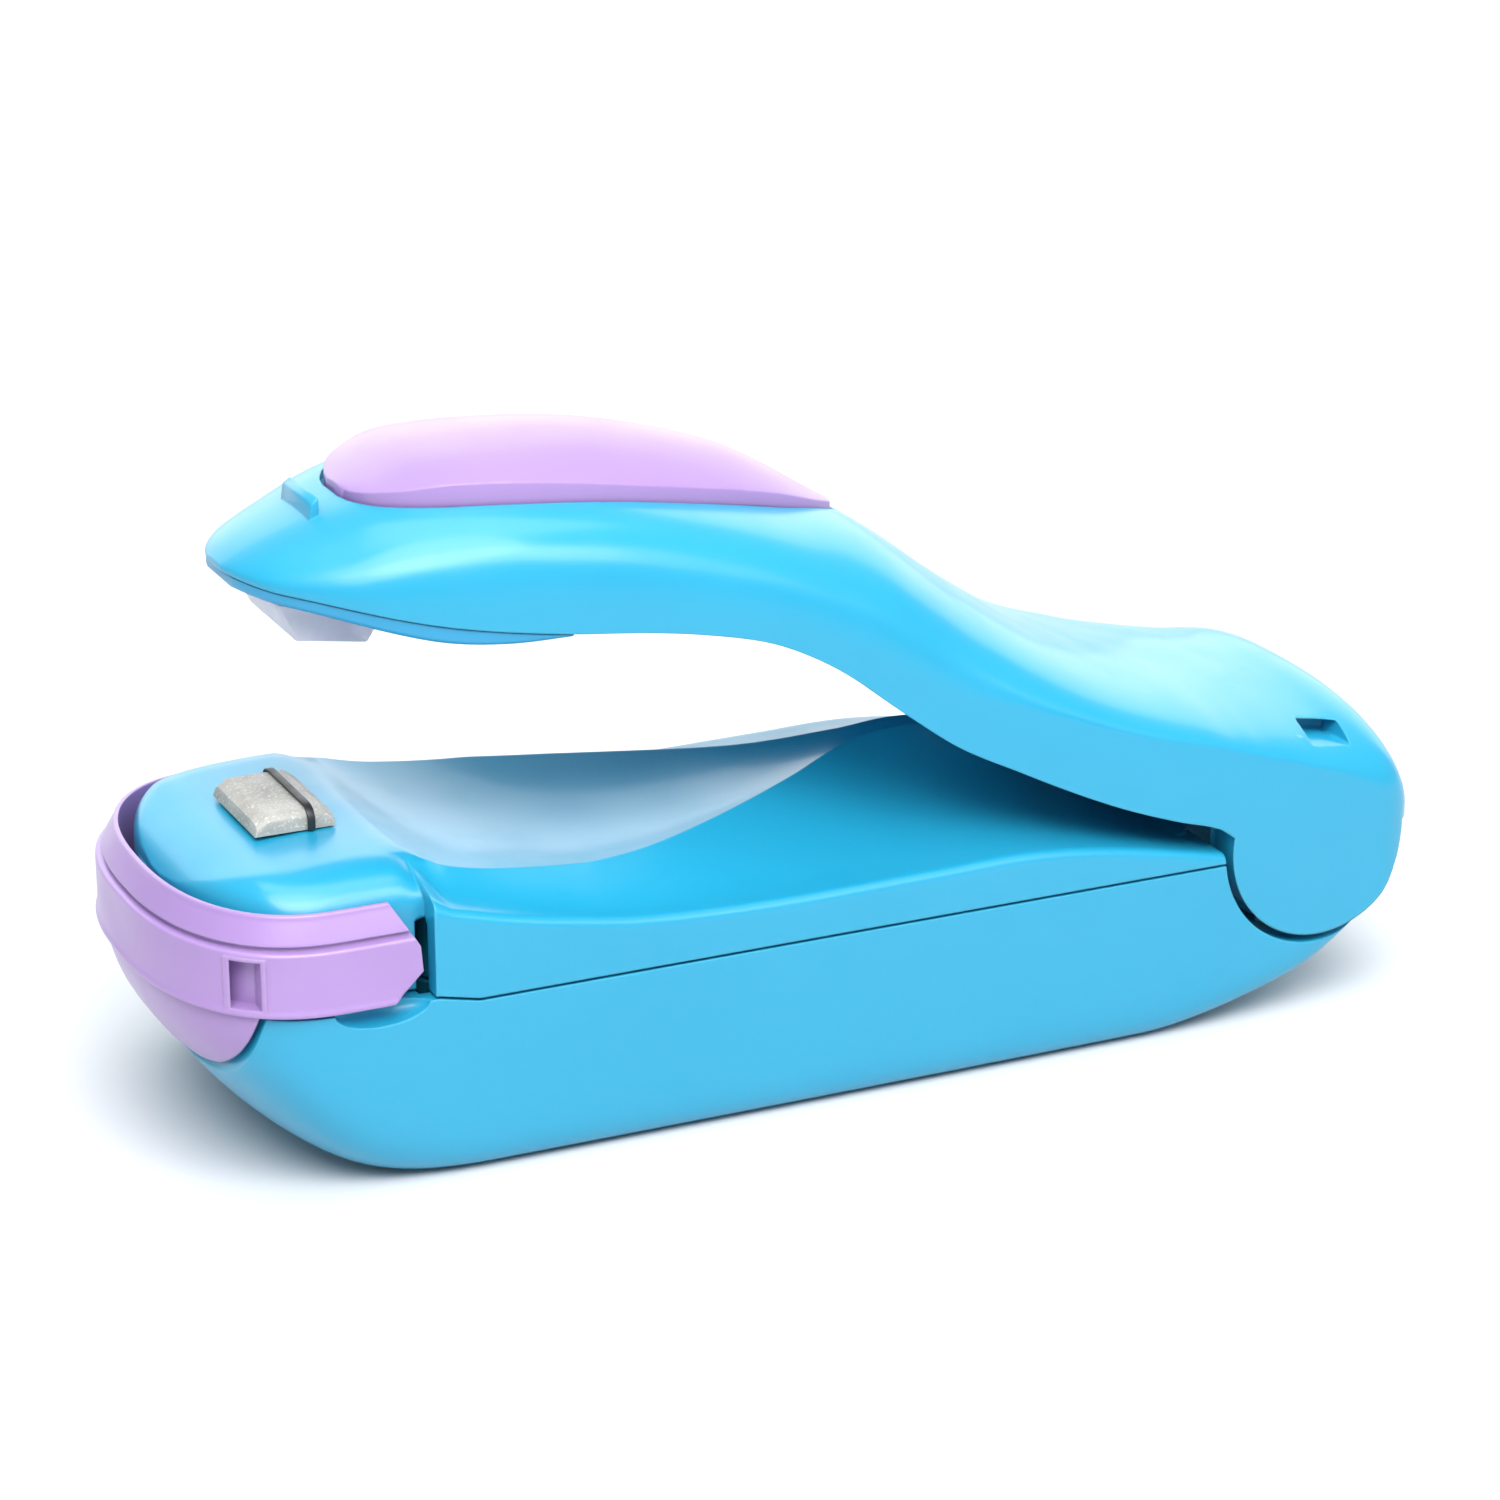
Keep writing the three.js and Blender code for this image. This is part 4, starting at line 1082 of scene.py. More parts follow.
@dataclass
class BaseShells:
    """The lower and upper shells of the base."""

    bay: Bay
    form: BaseForm = field(default_factory=BaseForm)
    screw_xs: Flat = (-37.6, 38.5)
    screw_y: float = 13.5
    bay_x: Flat = (-33.5, 27.5)
    rail_top: float = 3.2
    post_r: float = 3.4
    post_bore: float = 1.6
    head_bore: float = 2.7
    boss_r: float = 3.2
    boss_bore: float = 1.5
    pin_bore: float = 1.9
    axle_bore: float = 1.8
    lug_y: Flat = (12.8, 16.2)
    heater_x: float = -49.4
    window_half: Flat = (3.4, 4.6)
    spring: tuple[float, float] = (24.0, 28.4)
    switch_x: float = 35.5

    def posts(self, xs: Sequence[float], z: Flat, radius: float) -> list[Solid]:
        """Four or two round posts or holes where the case screws go."""
        return [bar(radius, z, (x, side * self.screw_y), Across.Z, 40) for x in xs for side in (-1, 1)]

    def lug(self, side: int) -> Solid:
        """One ear that carries the axle, standing on the saddle.

        Args:
            side: 1 for the far side, -1 for the near one.

        Returns:
            The ear.
        """
        x, z = self.form.hinge
        inner, outer = self.lug_y
        y = (-outer, -inner) if side < 0 else (inner, outer)
        foot = side_slab([(49, 6), (57, 7.4), (56.4, z), (49.6, z)], y)
        return foot.join(bar(3.4, y, (x, z), Across.Y, 64))

    def scoop(self, side: int) -> Solid:
        """A thumbnail scoop under an arm of the lock ring.

        Args:
            side: 1 for the far side, -1 for the near one.

        Returns:
            The scoop, as the solid to cut away.
        """
        ball = lathe([(5 * math.sin(a), -5 * math.cos(a)) for a in spread(0, math.pi, 32)], 64)
        ball.move(Matrix.Diagonal((0.92, 0.4, 0.36, 1.0)))
        return ball.move(Matrix.Translation((-47, side * self.form.half_width, 18.5)))

    def lower(self, hull: Solid) -> Solid:
        """The battery tray with its door rails, screw posts and hinge lugs.

        Args:
            hull: Both shells in one piece, which is used up.

        Returns:
            The lower shell.
        """
        form = self.form
        (door_front, bay_rear), half = self.bay_x, form.door_half
        shell = hull.keep(form.under_parting(form.split_z))
        inner = loft([form.section(x, 0.8, 6, 24) for x in spread(-56, 52, 40)])
        floor = block((door_front - 3, 52), (-half - 4, half + 4), (0.6, self.rail_top))
        shell.join(floor.keep(inner), *self.posts(self.screw_xs, (1.2, form.split_z), self.post_r))
        inside, outside = form.door_z
        wide = half + form.gap
        shell.cut(
            block((door_front, bay_rear), (-wide, wide), (-1, self.rail_top + 1)),
            block((door_front, 60), (-wide, wide), (-1, outside + form.gap)),
            block(
                (door_front, 60), (-wide - form.door_tongue, wide + form.door_tongue),
                (inside + 0.2, outside + form.gap),
            ),
        )
        shell.cut(
            *self.posts(self.screw_xs, (-2, form.split_z + 1), self.post_bore),
            *self.posts(self.screw_xs[:1], (-2, 2.6), self.head_bore),
            *self.posts(self.screw_xs[1:], (-2, 4.2), self.head_bore),
        )
        shell.join(self.lug(-1), self.lug(1))
        shell.cut(self.scoop(-1), self.scoop(1), bar(self.axle_bore, PAST, form.hinge, Across.Y, 32))
        return shell

    def upper(self, hull: Solid) -> Solid:
        """The deck with its heater window, spring seat, screw bosses and ring sockets.

        Args:
            hull: Both shells in one piece, which is used up.

        Returns:
            The upper shell.
        """
        form = self.form
        rear = form.hinge[0] - form.saddle_r + 0.4
        shell = hull.keep(block((-90, rear), (-40, 40), (0, 60)))
        shell.cut(form.under_parting(form.split_z + form.gap))
        spring_x, seat = self.spring
        shell.join(bar(4.4, (26, seat - form.gap), (spring_x, 0), Across.Z, 48, 0.4))
        for x, top in zip(self.screw_xs, (26.4, 19.4)):
            shell.join(*self.posts([x], (form.split_z + form.gap, top), self.boss_r))
            shell.cut(*self.posts([x], (form.split_z - 1, top - 1), self.boss_bore))
        window, half = self.window_half
        shell.cut(block((self.heater_x - window, self.heater_x + window), (-half, half), (24, 33.6)))
        shell.cut(bar(self.pin_bore, PAST, form.ring_pivot, Across.Y, 40))
        near = self.switch_x - 1.5
        shell.cut(*[block((near, near + 3), (side * 4 - 0.7, side * 4 + 0.7), (15, 40)) for side in (-1, 1)])
        return shell

    def build(self) -> None:
        """Builds both shells and sets them down."""
        self.bay.set_down(self.lower(self.form.hull()), "lower_shell", "base", Tone.SKY)
        self.bay.set_down(self.upper(self.form.hull()), "upper_shell", "base", Tone.SKY)


@dataclass
class BatteryCompartment:
    """The sliding door, the two cells and their sprung contacts."""

    bay: Bay
    form: BaseForm = field(default_factory=BaseForm)
    door_x: Flat = (-33.2, 44.5)
    grip_ribs: int = 5
    axis_z: float = 10.0
    coil_turns: float = 3.5
    coil_wire: float = 0.35
    cell_r: float = 7.2
    cell_length: float = 49.3
    spring_radii: Flat = (4.2, 2.2)

    def door(self) -> Solid:
        """The door, with its side tongues and finger grooves.

        Returns:
            The door.
        """
        low, high = self.form.door_z
        front, rear = self.door_x
        half = self.form.door_half
        door = block(self.door_x, (-half, half), self.form.door_z)
        wide = half + self.form.door_tongue
        door.join(block((front + 1.7, rear - 2), (-wide, wide), (low + 0.5, high)))
        door.keep(loft([self.form.section(x, low, 6, 40) for x in spread(-40, 46, 60)]))
        for x in spread(-28, -22, self.grip_ribs - 1):
            groove = bar(0.55, (-7, 7), (x, low), Across.Y, 24, 0.3)
            door.cut(groove)
        return door.soften(0.15, 40, 2)

    def cell(self, x: float, y: float, towards: int) -> Solid:
        """A dry cell lying along X with its plus nub towards +X or -X.

        Args:
            x: Where its flat minus end lies.
            y: The place of its axis across the tool.
            towards: 1 with the nub at +X, -1 with it at -X.

        Returns:
            The cell.
        """
        r, end = self.cell_r, self.cell_length
        outline = [
            (0, 0.15), (4.4, 0.15), (4.8, 0), (r - 0.8, 0), (r - 0.5, 0.25), (r - 0.12, 0.4), (r, 0.8),
            (r, end - 0.8), (r - 0.12, end - 0.4), (r - 0.5, end - 0.15), (r - 1.2, end), (3.4, end),
            (3.2, end - 0.3), (2.8, end - 0.3), (2.7, end + 0.75), (2.45, end + 1), (0, end + 1),
        ]
        turn = Matrix.Rotation(math.pi / 2 * towards, 4, "Y")
        return lathe(outline, 64).move(Matrix.Translation((x, y, self.axis_z)) @ turn)

    def contact_spring(self, x: float, y: float, length: float, towards: int) -> Solid:
        """A tapered spring from a contact plate at x towards a cell's minus end.

        Args:
            x: Where its wide end lies.
            y: The place of its axis across the tool.
            length: How long it is.
            towards: 1 where it points to +X, -1 to -X.

        Returns:
            The spring.
        """
        wide, narrow = self.spring_radii
        path = []
        for t in spread(0, 1, 100):
            turn = 2 * math.pi * self.coil_turns * t
            radius = wide + (narrow - wide) * t
            aside, rise = radius * math.sin(turn), radius * math.cos(turn)
            path.append(Vector((x + towards * t * length, y + aside, self.axis_z + rise)))
        return tube(path, self.coil_wire, 10)

    def build(self) -> None:
        """Builds the compartment's pieces and sets them down."""
        set_down = self.bay.set_down
        set_down(self.door(), "battery_door", "battery_door", Tone.DEEP_SKY)
        for name, towards in (("left", 1), ("right", -1)):
            low, high = (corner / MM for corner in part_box(f"cell_{name}"))
            start = low.x if towards > 0 else high.x
            cell = self.cell(start, (low.y + high.y) / 2, towards)
            set_down(cell, f"cell_{name}", "base", Tone.JACKET)
        for name, towards in (("front_minus_spring", 1), ("rear_minus_spring", -1)):
            low, high = (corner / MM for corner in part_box(name))
            start = low.x if towards > 0 else high.x
            length = high.x - low.x - 2 * self.coil_wire
            spring = self.contact_spring(start + self.coil_wire * towards, (low.y + high.y) / 2, length, towards)
            set_down(spring, name, "base", Tone.NICKEL, 60)


@dataclass
class LockRing:
    """The lock ring that swings on the nose: a bevelled band with a chin hanging from it."""

    bay: Bay
    form: BaseForm = field(default_factory=BaseForm)
    inner: Plan = Plan(20.0, -62.7)
    outer: Plan = Plan(22.3, -65.0)
    band_z: float = 18.8
    top_z: float = 28.0
    pin: tuple[float, Flat] = (1.5, (17.9, 20.5))
    window: tuple[Flat, Flat] = ((-60.2, -57.9), (19.5, 24.2))

    def band_levels(self) -> list[Flat]:
        """The band's outside, upwards, as (offset from the outer plan, height).

        Returns:
            The levels, from the band's foot to its rim.
        """
        bead = [(0.1 + 0.12 * math.cos(a), 19.05 + 0.25 * math.sin(a)) for a in spread(-1.57, 1.2, 6)]
        shelf = [(0.0, 19.7), (0.0, 24.4), (-0.04, 24.75), (-0.16, 24.92), (-0.6, 24.98), (-0.95, 25.05)]
        rim = [(-1.78 - 0.26 * (1 - math.cos(a)), self.top_z - 0.3 + 0.3 * math.sin(a)) for a in spread(0, 1.57, 6)]
        return [(0.0, self.band_z), *bead, *shelf, (-0.98, 25.3), (-0.62, 25.5), (-0.72, 25.75), (-1.66, 27.45), *rim]

    def stacked(self, levels: Sequence[Flat], plan: Plan) -> Solid:
        """A solid through a plan that is offset at each height."""
        return loft([[(x, y, z) for x, y in plan.outline(grow, 48)] for grow, z in levels])

    def build(self) -> None:
        """Builds the ring and sets it down."""
        band = self.stacked(self.band_levels(), self.outer)
        ends = [(-70, 8), (-46, 8), (-46, 18.8), (-43.1, 21.6), (-43.3, 24.1), (-46.2, 29), (-70, 31)]
        band.keep(side_slab(ends, PAST))
        band.cut(plan_slab(self.inner.outline(0, 48), (0, 40)))
        nose = self.form.nose
        heights = [10.3, 10.45, 10.8, 11.4, 12.2, 13, 14, 15, 16, 17, 18, 19.3]
        edge = [0.5, 0.25, 0.08] + [0.0] * 9
        chin = self.stacked([(self.form.chin_inset(z) + 2.4 - cut, z) for z, cut in zip(heights, edge)], nose)
        chin.keep(side_slab([(-70, 6), (-61.4, 10.3), (-60, 12.3), (-58, 18.8), (-58, 24), (-70, 24)], PAST))
        hollow = [(self.form.chin_inset(z) + 0.3, z) for z in (0, 8, 10.3, 11.4, 12.6, 14, 15.4, 17, 19.1)]
        chin.cut(self.stacked(hollow, nose), plan_slab(self.inner.outline(0, 48), (19.1, 40)))
        ring = band.join(chin)
        (x0, x1), (z0, z1) = self.window
        pin_r, (root, tip) = self.pin
        frame = self.stacked([(0.14, z0 - 0.35), (0.14, z1 + 0.3)], self.outer)
        frame.cut(plan_slab(self.outer.outline(-1.0, 48), (0, 40)))
        frame.keep(block((x0 - 0.45, x1 + 0.4), PAST, (0, 40)))
        ring.join(frame)
        for side in (-1, 1):
            y = (-30, -14) if side < 0 else (14, 30)
            pin = (-tip, -root) if side < 0 else (root, tip)
            window = block((x0, x1), y, (z0, z1))
            ring.cut(window.cut(plan_slab(self.outer.outline(-1.3, 48), (0, 40))))
            ring.join(bar(pin_r, pin, self.form.ring_pivot, Across.Y, 40))
        self.bay.set_down(ring, "lock_ring", "lock_ring", Tone.LILAC, 28)


@dataclass
class Heater:
    """The ceramic block and the nichrome strip that folds over it."""

    bay: Bay
    half_y: float = 6.2
    base_z: float = 30.6
    top_z: float = 32.5
    strip_x: float = -47.9
    strip_half: float = 0.36
    crown: float = 1.5
    crown_drop: float = 0.75
    strip_gap: float = 0.12
    strip_thick: float = 0.24

    def top_at(self, y: float) -> float:
        """The block's top at y: level in the middle and rounded off at both ends.

        Args:
            y: The place across the tool.

        Returns:
            The height there.
        """
        start = self.half_y - self.crown
        over = max(abs(y) - start, 0.0) / self.crown
        return self.top_z - self.crown_drop * (1 - math.sqrt(max(1 - over**2, 0.0)))

    def block(self) -> Solid:
        """The block, rounded at its ends, with its tenon through the deck.

        Returns:
            The block.
        """
        rows = []
        for y in [-self.half_y * math.sin(t) for t in spread(-1.5708, 1.5708, 36)]:
            top = self.top_at(y)
            rows.append([
                (-53.35, y, self.base_z), (-45.45, y, self.base_z), (-45.55, y, top - 0.8), (-46.6, y, top),
                (-52.0, y, top), (-53.1, y, top - 0.75),
            ])
        piece = loft(rows).soften(0.3, 30, 3)
        return piece.join(block((-52.4, -46.4), (-4.2, 4.2), (27, self.base_z + 0.5)))

    def strip(self) -> Solid:
        """The flat strip, which follows the block's top and goes down at both ends.

        Returns:
            The strip.
        """
        over = [(y, self.top_at(y) + self.strip_gap) for y in spread(-self.half_y + 0.05, self.half_y - 0.05, 40)]
        ends = self.half_y + self.strip_gap
        low = [(-ends, z) for z in spread(self.base_z, self.top_z - 0.85, 6)]
        line = low + over + [(-y, z) for y, z in reversed(low)]
        rows = []
        for i, (y, z) in enumerate(line):
            before, after = line[max(i - 1, 0)], line[min(i + 1, len(line) - 1)]
            along = Vector((after[0] - before[0], after[1] - before[1])).normalized()
            out = (-along.y * self.strip_thick, along.x * self.strip_thick)
            x0, x1 = self.strip_x - self.strip_half, self.strip_x + self.strip_half
            rows.append([(x0, y, z), (x1, y, z), (x1, y + out[0], z + out[1]), (x0, y + out[0], z + out[1])])
        return loft(rows).soften(0.05, 50, 2)

    def build(self) -> None:
        """Builds the block and strip and sets them down."""
        self.bay.set_down(self.block(), "heater_block", "base", Tone.CERAMIC, 40)
        self.bay.set_down(self.strip(), "heating_wire", "base", Tone.STRIP, 40)


# ------------------------------------------------------------------------------------ arm
@dataclass(frozen=True)
class ArmForm:
    """The outside form of the arm."""

    top: Profile = Profile((
        (-54.2, 55.9), (-53.2, 56.7), (-50.5, 58.1), (-46, 59.9), (-41, 61.5), (-35, 62.2), (-28, 62), (-20, 61),
        (-11, 58.9), (0, 55.8), (7.5, 53.5), (12, 50.8), (17, 47), (22, 43.4), (28, 39.6), (35, 36.3),
        (43, 33.6), (50, 32.1), (55, 31.3), (59, 30.9), (61.5, 29.7), (63.3, 27), (64.4, 23), (65, 19.4),
    ))
    edge: Profile = Profile((
        (-54.2, 55.4), (-52, 54.9), (-48, 54.2), (-37.5, 51.9), (-27, 50.3), (-19, 49.4), (-13, 48.4),
        (-7, 46.9), (-2.7, 45), (1.5, 42.4), (8, 37.3), (13, 33.7), (19, 30.6), (24, 28.1), (30, 25.4),
        (36, 23.2), (41, 21.6), (44, 19.6), (50, 18.9), (65, 18.8),
    ))
    half: Profile = Profile((
        (-54.2, 2), (-53.6, 4.4), (-52, 7.6), (-50, 9.8), (-46, 12.8), (-42, 14.9), (-36, 16.8), (-28, 18),
        (-15, 18.6), (0, 19), (10, 19.6), (20, 20.7), (30, 21.6), (38, 22), (60, 22), (62.5, 21.4),
        (64, 20), (65, 18),
    ))
    side_rise: Profile = Profile((
        (-54.2, 0.3), (-12, 0.3), (0, 1.6), (6, 3.6), (16, 6), (26, 7.5), (36, 8.2), (41, 8.5),
        (44, 9.4), (47, 8.9), (50, 8.1), (56, 6), (60, 3.7), (63, 1.6), (65, 0.3),
    ))
    wide_power: Profile = Profile((
        (-54.2, 2), (-46, 2.3), (-38, 3), (-28, 3.6), (-5, 3.2), (8, 2.6), (18, 2.2), (45, 2.1),
        (56, 2.1), (61, 2.4), (65, 2.8),
    ))
    tall_power: Profile = Profile((
        (-54.2, 2), (-46, 2.3), (-38, 3), (-28, 3.6), (-5, 3.2), (8, 2.4), (18, 1.8), (45, 1.7),
        (56, 1.8), (61, 2.2), (65, 2.8),
    ))
    plate_depth: Profile = Profile(((-53.6, 0.8), (-46, 1.1), (-38, 1.4), (-32, 1), (-26, 0.1)))
    widest: float = 22.0
    pad_half: Profile = Profile((
        (-42.4, 1.8), (-42, 3.8), (-40.5, 6.7), (-37.5, 9.2), (-33, 11), (-27, 11.8), (-19, 11.4), (-10, 9.4),
        (0, 5.8), (5, 3.4), (8, 1.2),
    ))
    pad_seat: Profile = Profile((
        (-42.4, 60), (-40, 60.5), (-34, 60.9), (-24, 60.1), (-10, 57.7), (0, 55.2), (8, 52.3),
    ))
    pad_rim: Profile = Profile(((-42.4, 1.7), (-34, 2.5), (-24, 2.5), (-9, 2.0), (8, 1.6)))
    pad_crown: Profile = Profile((
        (-42.4, 0.2), (-40, 0.5), (-36, 1.2), (-28, 2.2), (-16, 3.4), (-4, 2.9), (4, 1.1), (8, 0.2),
    ))

    def section(self, x: float, inset: float, top_inset: float, drop: float, steps: int) -> list[Point]:
        """The arm's section at x as a closed loop.

        Args:
            x: The place along the tool.
            inset: How far in from the sides it lies.
            top_inset: How far below the top it lies.
            drop: How far below the arm's edge it reaches.
            steps: How many steps go over the top.

        Returns:
            The loop, from the far edge over the top to the near edge.
        """
        half = max(min(self.half(x), self.widest) - inset, 0.3)
        low = self.edge(x) - drop
        shoulder = self.edge(x) + max(self.side_rise(x) - 0.75 * inset, 0.3)
        crown = max(self.top(x) - top_inset - shoulder, 0.2)
        wide, tall = 2 / self.wide_power(x), 2 / self.tall_power(x)
        loop = [(x, half, low)]
        for angle in spread(0, math.pi, steps):
            y = half * power_of(math.cos(angle), wide)
            loop.append((x, y, shoulder + crown * max(math.sin(angle), 0.0) ** tall))
        return [*loop, (x, -half, low)]

    def stations(self) -> list[float]:
        """Places along the arm, close together at its two rounded ends.

        Returns:
            The places, from the nose to the rear.
        """
        nose = [-54.2, -54.1, -53.9, -53.6, -53.2, -52.7, -52.1, -51.4, -50.6, -49.7]
        tail = [61.2, 61.8, 62.4, 63, 63.5, 64, 64.4, 64.7, 64.9, 65]
        return nose + spread(-48.8, 60.5, 118) + tail


@dataclass
class Arm:
    """The sprung arm: its shell, thumb pad, underside plate and press pad."""

    bay: Bay
    form: ArmForm = field(default_factory=ArmForm)
    gap: float = 0.3
    wall: float = 2.0
    hinge: Flat = BaseForm.hinge
    cheek: tuple[float, Flat] = (10.4, (17.4, 22.0))
    axle_bore: float = 1.8
    slot_at: Point = (55.0, 17.4, 28.4)
    slot_tilt: float = 0.18
    screw_x: float = -32.0
    boss_r: float = 2.6
    screw_bore: float = 1.4
    pad_middle: float = -17.2
    pad_half_length: float = 25.2

    def pad(self, grow: float, drop: float) -> Solid:
        """The thumb pad, or the pocket that it sits in.

        Args:
            grow: How far the outline is offset outwards.
            drop: How far below its seat it reaches.

        Returns:
            The domed solid.
        """
        start, end = self.pad_middle - self.pad_half_length, self.pad_middle + self.pad_half_length
        xs = [start + (end - start) * (1 - math.cos(math.pi * t)) / 2 for t in spread(0, 1, 60)]
        stretch = 1 + grow / self.pad_half_length
        rows = []
        for x in xs:
            half = self.form.pad_half(x) + grow
            seat = self.form.pad_seat(x)
            place = self.pad_middle + (x - self.pad_middle) * stretch
            crown = self.form.pad_crown(x)
            rim = seat + self.form.pad_rim(x)
            dome = [(place, s * half, rim + crown * (1 - s * s)) for s in spread(1, -1, 28)]
            rows.append([*dome, (place, -half, seat - drop), (place, half, seat - drop)])
        return loft(rows)

    def slot(self, side: int) -> Solid:
        """The moulded slot through the arm's rear shoulder.

        Args:
            side: 1 for the far side, -1 for the near one.

        Returns:
            The slot, as the solid to cut away.
        """
        slot = block((-2.5, 2.5), (-3.5, 3.5), (-0.8, 0.8)).soften(0.25, 40, 3)
        x, y, z = self.slot_at
        return slot.move(Matrix.Translation((x, side * y, z)) @ Matrix.Rotation(self.slot_tilt, 4, "Y"))

    def rear_wall(self) -> Solid:
        """The curved wall that closes the rear between the cheeks.

        Returns:
            The wall.
        """
        radius, (inner, _) = self.cheek
        half = inner + 0.5
        wall = bar(radius, (-half, half), self.hinge, Across.Y, 128)
        wall.cut(bar(radius - self.wall, (-half - 1, half + 1), self.hinge, Across.Y, 128))
        return wall.keep(side_slab([self.hinge, (73, 20.2), (73, 2), (64.2, 2.2)], (-half, half)))

    def shell(self) -> Solid:
        """The open-bottomed cover with its pad pocket, round cheeks and curved rear wall.

        Returns:
            The shell.
        """
        form = self.form
        shell = loft([form.section(x, 0, 0, 0, 96) for x in form.stations()])
        cavity = loft([form.section(x, self.wall, 3.4, 8, 40) for x in spread(-50, 61.4, 70)])
        shell.cut(cavity)
        radius, (inner, outer) = self.cheek
        for side in (-1, 1):
            y = (-outer, -inner) if side < 0 else (inner, outer)
            cheek = bar(radius, y, self.hinge, Across.Y, 128, 0.35)
            shell.join(cheek.keep(loft([form.section(x, 0, 0, 12, 96) for x in form.stations()])))
            shell.cut(self.slot(side))
        shell.join(self.rear_wall())
        shell.cut(self.pad(self.gap, 0))
        lip = side_slab([(-46.4, 58.6), (-45.2, 58.6), (-45.2, 61.7), (-46, 61.2)], (-4, 4)).soften(0.2, 30, 2)
        edge = form.edge(self.screw_x)
        boss = bar(self.boss_r, (edge + self.gap, form.top(self.screw_x) - 3), (self.screw_x, 0), Across.Z, 40)
        shell.join(lip, boss)
        hole = bar(self.screw_bore, (edge - 3, edge + 3.6), (self.screw_x, 0), Across.Z, 32)
        return shell.cut(hole, bar(self.axle_bore, (-20.5, 20.5), self.hinge, Across.Y, 40))

    def under_plate(self) -> Solid:
        """The plate that closes the underside of the nose.

        Returns:
            The plate.
        """
        rows = []
        for x in spread(-53.7, -26, 80):
            half = max(self.form.half(x) - 0.25, 0.8)
            high = self.form.edge(x) - 0.12
            low = self.form.edge(x) - 0.3 - self.form.plate_depth(x)
            belly = [
                (x, half - 0.6 * (1 - math.cos(a)), low + 0.5 - 0.5 * math.sin(a)) for a in spread(0, 1.5708, 5)
            ]
            rows.append([(x, half, high), (x, -half, high), *[(x, -y, z) for x, y, z in belly], *reversed(belly)])
        plate = loft(rows)
        edge = self.form.edge(self.screw_x)
        plate.cut(bar(self.screw_bore, (40, 60), (self.screw_x, 0), Across.Z, 32))
        return plate.cut(bar(2.5, (edge - 3, edge - 0.8), (self.screw_x, 0), Across.Z, 40))

    def press_pad(self) -> Solid:
        """The wedge-shaped pad that presses the bag onto the strip."""
        section = [(-50.6, 53.0), (-48.7, 49.1), (-41.8, 48.05), (-40.4, 50.2), (-40.4, 50.75)]
        return side_slab(section, (-6.4, 6.4)).soften(0.28, 20, 3)

    def build(self) -> None:
        """Builds the arm's pieces and sets them down."""
        self.bay.set_down(self.shell(), "arm_shell", "arm", Tone.SKY)
        thumb = self.pad(0, -self.gap).soften(0.45, 40, 4)
        self.bay.set_down(thumb, "thumb_pad", "arm", Tone.LILAC, 40)
        self.bay.set_down(self.under_plate(), "arm_under_plate", "arm", Tone.DEEP_SKY)
        self.bay.set_down(self.press_pad(), "press_pad", "arm", Tone.SILICONE, 50)


